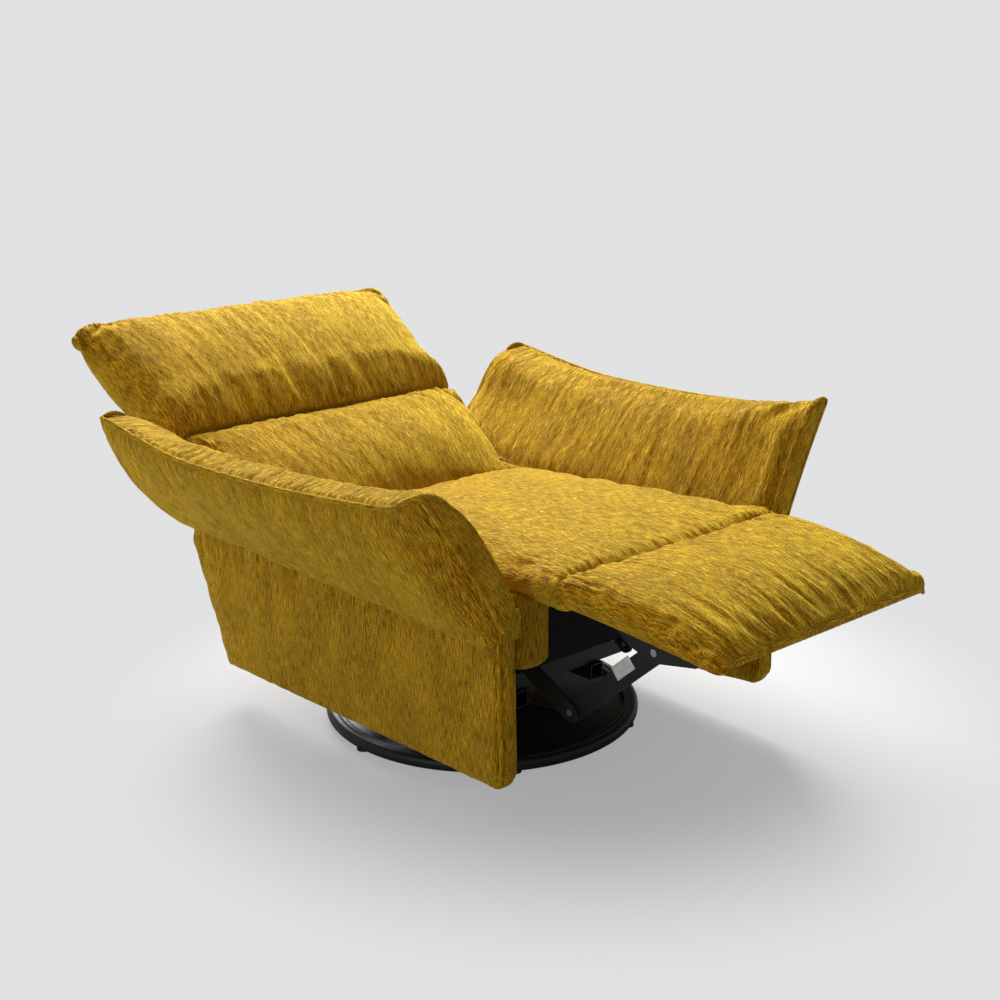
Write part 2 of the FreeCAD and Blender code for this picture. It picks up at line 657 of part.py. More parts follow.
def deck_straps():
    """Woven straps from the front rail to the rear rail, which carry the cushion."""
    straps = []
    for index in range(STRAPS):
        strap = doc.addObject("Part::Box", "strap")
        bind(strap, {"Length": "strap_width", "Width": f"{STRAP_LENGTH_SHARE} * (block_front + block_rear)",
                     "Height": "strap_thickness",
                     "Placement.Base.x": f"{index - (STRAPS - 1) / 2} * strap_pitch - strap_width / 2"})
        straps.append(on_deck(strap, "soft_gap", "strap_thickness + soft_gap"))
    return group_of("straps", straps)


CROSS_SHARES = (-1, 0, 1)


def circle_point(x, centre, radius, angle):
    """A point on a circle about an X line; the angle runs from straight ahead, -Y, upwards."""
    turned = math.radians(angle)
    return vector(x, centre[0] - radius * math.cos(turned), centre[1] + radius * math.sin(turned))


def crown_at(share, crown, drop):
    """Rise of a cushion's top over its edge line: crown in the middle, drop at the sides."""
    return crown * (1 - share ** 2) - drop * share ** 2


def hardware_slots(centre_y, centre_z, reach):
    """Two cutters, open below, for the hinge plates and pins at a soft pivot."""
    return [block((low, centre_y - reach, centre_z - 2 * reach),
                  (high, centre_y + reach, centre_z + s.slot_skin))
            for low, high in ((s.slot_inner, s.slot_outer), (-s.slot_outer, -s.slot_inner))]


def drawn_in_plan(rear_y, rear_half, front_y, front_half, draw, corner):
    """A tall prism whose plan has pulled-in sides and round front corners."""
    low = -s.footrest_front
    middle = (rear_y + front_y) / 2
    half = (rear_half + front_half) / 2 - draw
    cut_in = corner * (1 - math.sqrt(0.5))
    wire = closed_wire(vector(-rear_half, rear_y, low), [
        (vector(-half, middle, low), vector(-front_half, front_y + corner, low)),
        (vector(-front_half + cut_in, front_y + cut_in, low), vector(-front_half + corner, front_y, low)),
        (vector(front_half - corner, front_y, low),),
        (vector(front_half - cut_in, front_y + cut_in, low), vector(front_half, front_y + corner, low)),
        (vector(half, middle, low), vector(rear_half, rear_y, low)),
        (vector(-rear_half, rear_y, low),)])
    return Part.Face(wire).extrude(vector(0, 0, 2 * s.footrest_front))


def seat_cushion():
    """Crowned seat that ends in a round knee in front and in a hollow for the back's roll behind."""
    knee = (-s.knee_front, s.knee_height)
    hip = (s.hip_rear, s.hip_height)
    hollow = s.hip_radius + 2 * s.knee_gap
    upright = 180 - s.recline - s.back_rise
    rear_low = -asin_degrees((s.hip_height - deck_height(s.hip_rear - hollow) - s.soft_gap) / hollow)
    lowest = s.block_rear * SPACER_REAR_SHARE
    wires = []
    for share in CROSS_SHARES:
        x = share * s.seat_half_width
        top = circle_point(x, knee, s.knee_radius, QUARTER_TURN)
        rear = vector(x, s.hip_rear - s.seat_rear_back, s.hip_height + s.seat_rear_up)
        crest = (top + rear) * 0.5 + vector(0, 0, crown_at(share, s.seat_crown, s.edge_drop))
        knee_low = circle_point(x, knee, s.knee_radius, -110)
        wires.append(closed_wire(top, [
            (crest, rear),
            (circle_point(x, hip, hollow, upright - QUARTER_TURN),),
            (circle_point(x, hip, hollow, (upright - QUARTER_TURN + rear_low) / 2),
             circle_point(x, hip, hollow, rear_low)),
            (vector(x, lowest, deck_height(lowest) + s.soft_gap),),
            (vector(x, -s.block_front - s.soft_gap, deck_height(-s.block_front) + s.soft_gap),),
            (vector(x, -s.block_front - s.soft_gap, s.deck_front_height - s.lip_drop),),
            (knee_low,),
            (circle_point(x, knee, s.knee_radius, -60), circle_point(x, knee, s.knee_radius, -10)),
            (circle_point(x, knee, s.knee_radius, 40), top)]))
    shape = loft(wires).common(drawn_in_plan(s.hip_rear, s.seat_half_width, -s.knee_front - s.knee_radius,
                                             s.seat_half_width, s.side_draw, s.over))
    reach = s.knee_front - s.block_front + s.over
    return shape.cut(hardware_slots(-s.knee_front, s.knee_height, reach))


def asin_degrees(ratio):
    """Arc sine in degrees."""
    return math.degrees(math.asin(ratio))


# Footrest and its linkage

def footrest_bottom(y):
    """Height of the footrest cushion's flat underside at this y."""
    along = (-y - s.knee_front) / (s.footrest_front - s.knee_front)
    return s.footrest_bottom_rear + (s.footrest_bottom_front - s.footrest_bottom_rear) * along


def footrest_cushion():
    """Crowned pad, hollow behind where it rolls about the knee, with a round front edge."""
    knee = (-s.knee_front, s.knee_height)
    hollow = s.knee_radius + s.knee_gap
    low_angle = asin_degrees((s.footrest_bottom_rear - s.knee_height) / hollow)
    wires = []
    for share in CROSS_SHARES:
        x = share * s.seat_half_width
        rear_top = circle_point(x, knee, hollow, s.groove_angle)
        rear_low = circle_point(x, knee, hollow, low_angle)
        front_low = vector(x, -s.footrest_front + s.footrest_nose, footrest_bottom(-s.footrest_front))
        front_top = vector(x, -s.footrest_front + s.footrest_nose,
                           s.footrest_seam_height + crown_at(share, s.footrest_crown / 2, 0))
        nose = vector(x, -s.footrest_front, (front_low.z + front_top.z) / 2)
        crest = (rear_top + front_top) * 0.5 + vector(0, 0, crown_at(share, s.footrest_crown, s.edge_drop))
        wires.append(closed_wire(rear_top, [
            (circle_point(x, knee, hollow, (s.groove_angle + low_angle) / 2), rear_low),
            (front_low,), (nose, front_top), (crest, rear_top)]))
    plan = drawn_in_plan(-s.knee_front, s.seat_half_width, -s.footrest_front, s.footrest_front_half_width,
                         s.side_draw, s.corner_round)
    reach = s.knee_front - s.block_front + s.over
    return loft(wires).common(plan).cut(hardware_slots(-s.knee_front - s.knee_radius, s.knee_height, reach))


def footrest_board():
    """The covered board that stiffens the footrest from below."""
    half = s.board_half_width
    rear, front = -s.board_rear, -s.board_front
    corners = [vector(-half, rear, footrest_bottom(rear) - s.soft_gap),
               vector(-half, front, footrest_bottom(front) - s.soft_gap),
               vector(-half, front, footrest_bottom(front) - s.soft_gap - s.board_thickness),
               vector(-half, rear, footrest_bottom(rear) - s.soft_gap - s.board_thickness)]
    face = Part.Face(Part.makePolygon(corners + corners[:1]))
    board = face.extrude(vector(2 * half, 0, 0))
    along = [edge for edge in board.Edges if edge.BoundBox.ZLength > s.board_thickness / 2
             and edge.BoundBox.YLength < s.over]
    return board.makeFillet(s.over, along)


def board_line(y):
    """Expression for the height of the board's underside at an expression for y."""
    fall = "(footrest_bottom_rear - footrest_bottom_front) / (footrest_front - knee_front)"
    return f"footrest_bottom_rear - (-({y}) - knee_front) * {fall} - soft_gap - board_thickness - turn_gap"


def footrest_arm(side_name, side):
    """A flat arm from the knee pivot to a rounded, notched end below the board."""
    x = low_x(side, "link_inner", "link_thickness")
    tab_rear = "-board_rear - turn_gap"
    tab_front = "-board_rear - 3 * link_half_width"
    corners = [
        ("-knee_front", "knee_height + pin_head_radius"),
        (f"{tab_rear}", board_line(tab_rear)), (tab_front, board_line(tab_front)),
        (f"{tab_front} - over", f"{board_line(tab_front)} - pin_radius"),
        ("-bar_end_front + link_half_width / 2", f"{TOE[1]} + link_half_width"),
        ("-bar_end_front + link_half_width / 2", TOE[1]),
        (TOE[0], f"{TOE[1]} - link_half_width"),
        (f"{TOE[0]} + 3 * link_half_width", f"{TOE[1]} - pin_radius / 2"),
        ("-knee_front", "knee_height - pin_head_radius"),
    ]
    plate = padded_plate(f"footrest_arm_{side_name}_body", corners, "link_thickness", x)
    ends = [rod(f"arm_ear_{side_name}", (x, *KNEE), "pin_head_radius + leaf_thickness", "link_thickness",
                X_AXIS),
            rod(f"arm_toe_{side_name}", (x, *TOE), "link_half_width", "link_thickness", X_AXIS),
            rod(f"arm_end_{side_name}", (x, "-bar_end_front + link_half_width / 2",
                                         f"{TOE[1]} + link_half_width / 2"),
                "link_half_width / 2", "link_thickness", X_AXIS)]
    start = low_x(side, "link_inner - over", "link_thickness + 2 * over")
    run = "link_thickness + 2 * over"
    holes = [rod(f"knee_hole_{side_name}", (start, *KNEE), "pin_radius + turn_gap", run, X_AXIS),
             rod(f"toe_hole_{side_name}", (start, *TOE), "pin_radius + press_gap", run, X_AXIS)]
    for index in range(NOTCHES):
        y = f"-bar_end_front + link_half_width + {index} * notch_pitch"
        z = f"{TOE[1]} + link_half_width + {index} * leaf_thickness"
        holes.append(rod(f"notch_{side_name}", (start, y, z), "notch_radius", run, X_AXIS))
    stock = fuse(f"footrest_arm_{side_name}_stock", [plate] + ends)
    return cut(f"footrest_arm_{side_name}_cut", stock, holes)


def bored_bar(name, side, inner, start, angle, length, radii):
    """A link: a flat bar with a hole of its own radius at each end."""
    x = low_x(side, inner, "link_thickness")
    stock = bar(name, x, "link_thickness", start, angle, length, "link_half_width")
    hole_x = low_x(side, f"{inner} - over", "link_thickness + 2 * over")
    holes = [rod(name + "_hole", (hole_x, f"{start[0]} + ({reach}) * cos({angle})",
                                  f"{start[1]} + ({reach}) * sin({angle})"),
                 radius, "link_thickness + 2 * over", X_AXIS)
             for reach, radius in zip(("0", length), radii)]
    return cut(name + "_cut", stock, holes)


def inner_pin(name, side, centre):
    """A pin through a coupler and the plate outside it, held by a clip at its inner end."""
    inner = "coupler_inner - leaf_thickness - turn_gap"
    length = f"{LINK_OUTER} - ({inner})"
    shank = rod(name + "_shank", (low_x(side, inner, length), *centre), "pin_radius", length, X_AXIS)
    clip = rod(name + "_clip", (low_x(side, inner, "leaf_thickness"), *centre),
               "pin_head_radius", "leaf_thickness", X_AXIS)
    return fuse(name + "_pin", [shank, clip])


def make_footrest():
    """Cushion, board, arms, cranks, couplers and the torque tube with its drive lever."""
    soft("footrest_cushion", footrest_cushion())
    soft("footrest_board", footrest_board())
    for side_name, side in SIDES:
        node(footrest_arm(side_name, side), f"footrest_arm_{side_name}")
        node(bored_bar(f"coupler_{side_name}", side, "coupler_inner", ELBOW, COUPLER_ANGLE, LINK_LENGTH,
                       ("pin_radius + turn_gap", "pin_radius + turn_gap")), f"lift_link_{side_name}")
    for name, centre in (("elbow_pins", ELBOW), ("toe_pins", TOE)):
        pins = [inner_pin(f"{name}_{side_name}", side, centre) for side_name, side in SIDES]
        node(group_of(name, pins), name)

    forward = "270 - footrest_fold / 2"
    far = "footrest_lever / cos(footrest_fold / 2)"
    x = "drive_offset - drive_eye_thickness / 2 - lever_thickness - drive_wall"
    tube = rod("torque_tube", ("-link_inner", *CRANK), "torque_tube_radius", "2 * link_inner", X_AXIS)
    lever = bar("drive_lever", x, "lever_thickness", CRANK, forward, far, "lever_half_width")
    cranks = [bored_bar(f"crank_{side_name}", side, "link_inner", CRANK, CRANK_ANGLE, CRANK_LENGTH,
                        ("pin_radius + turn_gap", "pin_radius + press_gap")) for side_name, side in SIDES]
    slot = slot_cutter("drive_slot", x, CRANK, forward, "footrest_lever", far, "footrest_slot_half")
    driven = cut("torque_cut", fuse("torque_stock", [tube, lever]), [slot])
    node(fuse("lift_crank_welded", [driven] + cranks), "lift_crank")


def slot_cutter(name, x, hub, angle, near, far, half):
    """A cutter for a slot that runs from near to far, straight out from the pivot."""
    start_reach = f"({near}) - drive_pin_radius - drive_wall + ({half})"
    run = f"({far}) - ({near}) + 2 * drive_pin_radius + 2 * drive_wall - 2 * ({half})"
    return bar(name, f"{x} - over", "lever_thickness + 2 * over",
               (f"{hub[0]} + ({start_reach}) * cos({angle})", f"{hub[1]} + ({start_reach}) * sin({angle})"),
               angle, run, half)


# Back and head, built flat: local Y runs up the back, local Z points at the sitter

BACK_SHARES = (-0.1, 0, 0.3, 0.66, 0.94, 1)
BACK_FRONT_SHARES = (0.35, 0.97, 1, 1, 0.86, 0.6)
BACK_CROWN_SHARES = (0.03, 0.03, 0.95, 1, 0.5, 0.1)
BACK_REAR_SHARES = (0, 0, 0, 0.3, 0.9, 1)
HEAD_SHARES = (0, 0.06, 0.36, 0.74, 0.93, 1)
HEAD_FRONT_SHARES = (0.6, 0.86, 1, 1, 0.95, 0.95)
HEAD_CROWN_SHARES = (0.1, 0.5, 1, 0.8, 0.25, 0.05)
HEAD_BACK_SHARES = (1, 1, 1, 0.8, 0.3, -0.3)


def pillow_section(y, half, rear_half, front, rear, crown):
    """A closed section across the back: crowned in front, round at the sides, flat behind."""
    side = (half + rear_half) / 2 + s.side_swell
    middle = (front + rear) / 2
    return closed_wire(vector(-half, y, front), [
        (vector(0, y, front + crown), vector(half, y, front)),
        (vector(side, y, middle), vector(rear_half, y, rear)),
        (vector(-rear_half, y, rear),),
        (vector(-side, y, middle), vector(-half, y, front))])


def back_half_width(share):
    """Half of the back's width at this share of the way up to the crease."""
    return s.back_low_half_width + (s.back_high_half_width - s.back_low_half_width) * share


def head_half_width(share):
    """Half of the head cushion's width, which flares a little more towards its ears."""
    flare = share ** 1.5
    return s.back_high_half_width + (s.head_top_half_width - s.back_high_half_width) * flare


def back_slots():
    """Cutters for the hinge plates at the hip and at the crease."""
    cutters = []
    for centre in (0, s.back_length):
        cutters += hardware_slots(centre, 0, s.hip_radius + s.ear_radius)
    return cutters


def crease_wedge():
    """A wedge that opens the two cushions towards the sitter about the crease pivot."""
    depth = 4 * s.back_front
    half = depth * math.tan(math.radians(s.crease_angle))
    wide = 2 * s.head_top_half_width
    corners = [vector(-wide / 2, s.back_length, 0), vector(-wide / 2, s.back_length - half, depth),
               vector(-wide / 2, s.back_length + half, depth)]
    return Part.Face(Part.makePolygon(corners + corners[:1])).extrude(vector(wide, 0, 0))


def lumbar_cushion():
    """The lower back cushion, which ends below in a roll about the hip pivot."""
    wires = [pillow_section(share * s.back_length, back_half_width(share), back_half_width(rear),
                            s.back_front * front, -s.back_depth, s.back_crown * crown)
             for share, front, crown, rear in zip(BACK_SHARES, BACK_FRONT_SHARES, BACK_CROWN_SHARES,
                                                  BACK_REAR_SHARES)]
    wide = 2 * s.head_top_half_width
    below = block((-wide / 2, -s.back_length, -s.back_length), (wide / 2, 0, s.back_length))
    roll = Part.makeCylinder(s.hip_radius, wide, vector(-wide / 2, 0, 0), X_AXIS)
    above = block((-wide / 2, s.back_length - s.soft_gap, -s.back_length),
                  (wide / 2, 2 * s.back_length, s.back_length))
    half = s.back_low_half_width - s.recess_wall
    recess = block((-half, -s.back_length, -s.back_length), (half, s.back_length + s.over, -s.recess_depth))
    return loft(wires).cut([below.cut(roll), above, crease_wedge(), recess] + back_slots())


def head_cushion():
    """The head cushion, which narrows to a sewn edge with an ear at each upper corner."""
    wires = []
    for share, front, crown, rear in zip(HEAD_SHARES, HEAD_FRONT_SHARES, HEAD_CROWN_SHARES,
                                         HEAD_BACK_SHARES):
        half = head_half_width(share)
        wires.append(pillow_section(s.back_length + share * s.head_length, half, half,
                                    s.back_front * front, -s.back_depth * rear, s.head_crown * crown))
    wide = 2 * s.head_top_half_width
    below = block((-wide / 2, 0, -s.back_length), (wide / 2, s.back_length + s.soft_gap, s.back_length))
    half = s.back_high_half_width - s.recess_wall
    recess = block((-half, 0, -s.back_length), (half, s.back_length + s.head_recess, -s.recess_depth))
    return loft(wires).cut([below, crease_wedge(), recess] + back_slots())


def cover_front():
    """How far behind the back's plane the rear covers start."""
    return -s.upright_depth - s.upright_half_width - s.soft_gap


def rear_cover(low, high, half):
    """A padded cover across the back between two heights, with rounded rear edges."""
    rear = cover_front() - s.cover_thickness
    shape = block((-half, low, rear), (half, high, cover_front()))
    rim = [edge for edge in shape.Edges if edge.BoundBox.ZMax < rear + s.press_gap]
    return shape.makeFillet(s.cover_edge_round, rim)


def make_back():
    """Lumbar cushion, welded frame, rear cover and the pins of the crease."""
    soft("lumbar_cushion", lumbar_cushion(), back_placement())
    half = s.back_low_half_width - s.recess_wall - s.soft_gap
    soft("back_cover", rear_cover(s.back_cover_low, s.back_length - s.soft_gap, half), back_placement())
    uprights = [upright(f"upright_{side_name}", side) for side_name, side in SIDES]
    high = rod("back_high_tube", ("-link_inner", "back_tube_high", "-upright_depth"), "back_tube_radius",
               "2 * link_inner", X_AXIS)
    node(on_back(fuse("back_frame_welded", uprights + [high, back_lever_tube()])), "back_frame")
    pins = [inner_pin(f"crease_pin_{side_name}", side, ("back_length", "0")) for side_name, side in SIDES]
    node(on_back(group_of("crease_pins", pins)), "crease_pins")


def upright(name, side):
    """A steel upright: an ear at the hip and one at the crease, joined by a bar behind the cushion."""
    x = low_x(side, "link_inner", "link_thickness")
    run = "back_length - 2 * back_tube_low"
    rail = bar(name + "_rail", x, "link_thickness", ("back_tube_low", "-upright_depth"), "0", run,
               "upright_half_width")
    slant = "atan(upright_depth / back_tube_low)"
    arms = [bar(name + "_low", x, "link_thickness", ("0", "0"), f"0 deg - {slant}", EAR_RUN,
                "upright_half_width"),
            bar(name + "_high", x, "link_thickness", ("back_length", "0"), f"180 deg + {slant}", EAR_RUN,
                "upright_half_width")]
    hole_x = low_x(side, "link_inner - over", "link_thickness + 2 * over")
    holes = [rod(name + "_hole", (hole_x, end, "0"), radius, "link_thickness + 2 * over", X_AXIS)
             for end, radius in (("0", "pin_radius + turn_gap"), ("back_length", "pin_radius + press_gap"))]
    return cut(name + "_cut", fuse(name + "_stock", [rail] + arms), holes)


def back_lever_tube():
    """The back's lower cross tube, with the lever that its drive pushes."""
    down = "270 - back_rise / 2 - recline"
    far = "back_lever / cos(back_rise / 2)"
    x = "-drive_offset + drive_eye_thickness / 2 + drive_wall"
    tube = rod("back_low_tube", ("-link_inner", "back_tube_low", "-upright_depth"), "back_tube_radius",
               "2 * link_inner", X_AXIS)
    hub = ("0", "0")
    slot_end = (f"({far}) * cos({down})", f"({far}) * sin({down})")
    arm_angle = f"atan2({slot_end[1]} + upright_depth; {slot_end[0]} - back_tube_low)"
    arm_run = f"sqrt(({slot_end[1]} + upright_depth) ^ 2 + ({slot_end[0]} - back_tube_low) ^ 2)"
    arm = bar("back_lever_arm", x, "lever_thickness", ("back_tube_low", "-upright_depth"), arm_angle,
              arm_run, "lever_half_width")
    cheek = bar("back_lever_cheek", x, "lever_thickness",
                (f"back_lever * cos({down})", f"back_lever * sin({down})"), down,
                f"({far}) - back_lever", "lever_half_width")
    slot = slot_cutter("back_slot", x, hub, down, "back_lever", far, "back_slot_half")
    return cut("back_low_tube_cut", fuse("back_low_tube_stock", [tube, arm, cheek]), [slot])


def make_head():
    """Head cushion, welded frame and rear cover."""
    soft("head_cushion", head_cushion(), back_placement())
    half = s.back_high_half_width - s.recess_wall - s.soft_gap
    cover = rear_cover(s.back_length + s.soft_gap, s.back_length + s.head_recess - s.soft_gap, half)
    soft("head_cover", cover, back_placement())
    arms = [head_arm(side_name, side) for side_name, side in SIDES]
    tube = rod("head_cross_tube", ("-coupler_inner", "head_tube_place", "-upright_depth"),
               "back_tube_radius", "2 * coupler_inner", X_AXIS)
    node(on_back(fuse("head_frame_welded", arms + [tube])), "head_frame")


def head_arm(side_name, side):
    """One arm of the head frame, from the crease pin to behind the head cushion."""
    x = low_x(side, "coupler_inner", "link_thickness")
    start = ("back_length", "0")
    low = bar(f"head_low_{side_name}", x, "link_thickness", start,
              "0 deg - atan(upright_depth / back_tube_low)", EAR_RUN, "upright_half_width")
    rail_start = ("back_length + back_tube_low", "-upright_depth")
    rail = bar(f"head_rail_{side_name}", x, "link_thickness", rail_start, "0",
               "head_tube_place - back_length - back_tube_low", "upright_half_width")
    hole_x = low_x(side, "coupler_inner - over", "link_thickness + 2 * over")
    hole = rod(f"head_hole_{side_name}", (hole_x, *start), "pin_radius + turn_gap",
               "link_thickness + 2 * over", X_AXIS)
    return cut(f"head_arm_{side_name}_cut", fuse(f"head_arm_{side_name}_stock", [low, rail]), [hole])


# Arms

ARM_SHARES = (-1, -0.6, 0, 0.6, 1)
ARM_BULGE_SHARES = (0.3, 0.9, 1, 0.35, 0.1)
ARM_SPREAD_SHARES = (0, 0, 0, 0.75, 1)


def arm_points(share, spread, bulge):
    """The corners of an arm's section, as x and z, at a share of its length from front to rear."""
    tip = (s.arm_tip_out + s.arm_tip_twist * share,
           s.arm_tip_height - s.arm_tip_fall * share - s.arm_tip_sag * (1 - share ** 2))
    seam = (tip[0] - s.arm_strip_width, tip[1] - s.arm_strip_drop)
    board_top = s.panel_top + 3 * s.leaf_thickness + s.arm_board_thickness + s.soft_gap
    foot = (s.arm_inner_foot + s.arm_rear_spread * spread, board_top)
    lip_inner = s.panel_inner + s.panel_thickness + s.lip_gap
    lip = (lip_inner + s.lip_width, s.lip_bottom)
    return SimpleNamespace(tip=tip, seam=seam, foot=foot, board_top=board_top, lip_inner=lip_inner, lip=lip,
                           inner=bulged(foot, seam, s.arm_inner_bulge * bulge),
                           outer=bulged(tip, lip, s.arm_outer_bulge * (bulge + 1) / 2))


def arm_y(share, z):
    """Place along an arm; its front end leans back as it rises."""
    reach = s.arm_rear if share > 0 else s.arm_front
    rise = (z - s.lip_bottom) / (s.arm_tip_height - s.lip_bottom)
    return share * reach + s.arm_lean * rise * (1 - share) / 2


def bulged(start, end, rise):
    """The middle of a chord, pushed out square to it on its left-hand side."""
    run = (end[0] - start[0], end[1] - start[1])
    length = math.hypot(*run)
    middle = ((start[0] + end[0]) / 2, (start[1] + end[1]) / 2)
    return middle[0] - run[1] / length * rise, middle[1] + run[0] / length * rise


def arm_cushion(side):
    """A leaning pillow that hooks over the side panel and twists outwards to the rear."""
    wires = []
    for share, bulge, spread in zip(ARM_SHARES, ARM_BULGE_SHARES, ARM_SPREAD_SHARES):
        p = arm_points(share, spread, bulge)
        at = [vector(x, arm_y(share, z), z)
              for x, z in (p.foot, p.inner, p.seam, p.tip, p.outer, p.lip, (p.lip_inner, s.lip_bottom),
                           (p.lip_inner, p.board_top))]
        wires.append(closed_wire(at[0], [(at[1], at[2]), (at[3],), (at[4], at[5]), (at[6],), (at[7],),
                                         (at[0],)]))
    shape = loft(wires)
    return shape if side > 0 else shape.mirror(FreeCAD.Vector(), X_AXIS)


def control_placement():
    """Place of the control strip's own frame: local Z points out of the right arm's inner face."""
    p = arm_points(0, 0, 1)
    run = (p.seam[0] - p.foot[0], p.seam[1] - p.foot[1])
    lean = math.degrees(math.atan2(run[1], run[0]))
    centre = vector(-p.inner[0], arm_y(0, p.inner[1]), p.inner[1])
    return FreeCAD.Placement(centre, FreeCAD.Rotation(Y_AXIS, lean))


def make_arms():
    """Arm cushions, their boards and hinges, and the control strip on the right arm."""
    pocket = control_pocket()
    for side_name, side in SIDES:
        shape = arm_cushion(side)
        if side < 0:
            shape = shape.cut(pocket)
        soft(f"arm_cushion_{side_name}", shape)
        low = "panel_top + 3 * leaf_thickness"
        width = "panel_inner + panel_thickness - arm_board_inner"
        board = box(f"arm_board_{side_name}_box", (low_x(side, "arm_board_inner", width),
                                                    "-arm_board_half_length", low),
                    (width, "2 * arm_board_half_length", "arm_board_thickness"))
        node(board, f"arm_board_{side_name}")
        node(hinge_leaf(side_name, side, "moving"), f"arm_hinge_leaf_{side_name}")
    node(group_of("arm_hinge_seats", [hinge_leaf(side_name, side, "fixed") for side_name, side in SIDES]),
         "arm_hinge_seats")


def hinge_leaf(side_name, side, kind):
    """Half of a long butt hinge: a leaf and every second knuckle about the barrel line."""
    fixed = kind == "fixed"
    name = f"leaf_{kind}_{side_name}"
    z = "panel_top" if fixed else "panel_top + 2 * leaf_thickness"
    width = "panel_inner + panel_thickness - barrel_place - 3 * leaf_thickness"
    leaf = box(name + "_flat", (low_x(side, "barrel_place", width), "-arm_board_half_length", z),
               (width, "2 * arm_board_half_length", "leaf_thickness"))
    pitch = f"2 * arm_board_half_length / {KNUCKLES}"
    centre_x = "barrel_place" if side > 0 else "-barrel_place"
    centre_z = "panel_top + barrel_radius + turn_gap"
    barrels, clears = [], []
    for index in range(KNUCKLES):
        mine = (index % 2 == 0) == fixed
        start = (centre_x, f"-arm_board_half_length + {index} * {pitch} + turn_gap", centre_z)
        if mine:
            barrels.append(rod(name + "_knuckle", start, "barrel_radius", f"{pitch} - 2 * turn_gap", Y_AXIS))
        else:
            start = (centre_x, f"-arm_board_half_length + {index} * {pitch} - turn_gap", centre_z)
            clears.append(rod(name + "_clear", start, "barrel_radius + turn_gap", f"{pitch} + 2 * turn_gap",
                              Y_AXIS))
    return cut(name, fuse(name + "_stock", [leaf] + barrels), clears)


def control_pocket():
    """The cutter for the control strip's seat in the arm."""
    half_length = s.control_length / 2 + s.soft_gap
    half_width = s.control_width / 2 + s.soft_gap
    cutter = block((-half_width, -half_length, -s.control_depth + s.control_proud - s.soft_gap),
                   (half_width, half_length, s.control_depth))
    cutter.Placement = control_placement()
    return cutter


def make_controls():
    """The control strip and its four sprung buttons."""
    wide, long, deep = s.control_width, s.control_length, s.control_depth
    strip = block((-wide / 2, -long / 2, -deep + s.control_proud), (wide / 2, long / 2, s.control_proud))
    corners = [edge for edge in strip.Edges if edge.BoundBox.ZLength > s.over]
    strip = strip.makeFillet(wide / 3, corners)
    well = s.button_height - s.button_proud + s.button_travel + s.button_gap
    for index in range(BUTTONS):
        y = (index - (BUTTONS - 1) / 2) * s.button_pitch
        strip = strip.cut(Part.makeCylinder(s.button_radius + s.button_gap, well + s.over,
                                            vector(0, y, s.control_proud - well)))
        low = s.control_proud + s.button_proud - s.button_height
        stem = Part.makeCylinder(s.button_radius, s.button_height - s.button_travel, vector(0, y, low))
        cap = Part.makeCone(s.button_radius, s.button_radius - s.button_travel, s.button_travel,
                            vector(0, y, low + s.button_height - s.button_travel))
        soft(f"button_{index + 1}", stem.fuse(cap), control_placement())
    soft("control_strip", strip, control_placement())


# Drives and supply

def drive(name, x, z, start, eye_y, forward):
    """A linear drive along Y: a bored tube with gearbox and motor at its tail, and the tail's eye."""
    low_eye, half_eye = "drive_eye_radius", "drive_eye_thickness / 2"
    gear_low = f"{start} + drive_tube_length - gearbox_length" if forward else start
    motor_low = f"{gear_low} - motor_length" if forward else f"{gear_low} + gearbox_length"
    tail_low = f"{start} + drive_tube_length" if forward else f"{start} - drive_eye_radius"
    bore_low = f"{start} - over" if forward else f"{start} + gearbox_length"
    solid = [
        rod(name + "_tube", (x, start, z), "drive_tube_radius", "drive_tube_length", Y_AXIS),
        box(name + "_gear", (f"{x} - drive_tube_radius - over / 2", gear_low, f"{z} - gearbox_height / 2"),
            ("gearbox_width", "gearbox_length", "gearbox_height")),
        rod(name + "_motor", (f"{x} + motor_offset", motor_low, z), "motor_radius", "motor_length", Y_AXIS),
        box(name + "_tail", (f"{x} - {half_eye}", tail_low, f"{z} - {low_eye}"),
            ("drive_eye_thickness", low_eye, f"2 * {low_eye}")),
        rod(name + "_eye", (f"{x} - {half_eye}", eye_y, z), low_eye, "drive_eye_thickness", X_AXIS)]
    holes = [
        rod(name + "_bore", (x, bore_low, z), "drive_rod_radius + turn_gap",
            "drive_tube_length - gearbox_length + over", Y_AXIS),
        rod(name + "_eye_hole", (f"{x} - drive_eye_thickness", eye_y, z), "drive_pin_radius + press_gap",
            "2 * drive_eye_thickness", X_AXIS)]
    return cut(name + "_cut", fuse(name + "_stock", solid), holes)


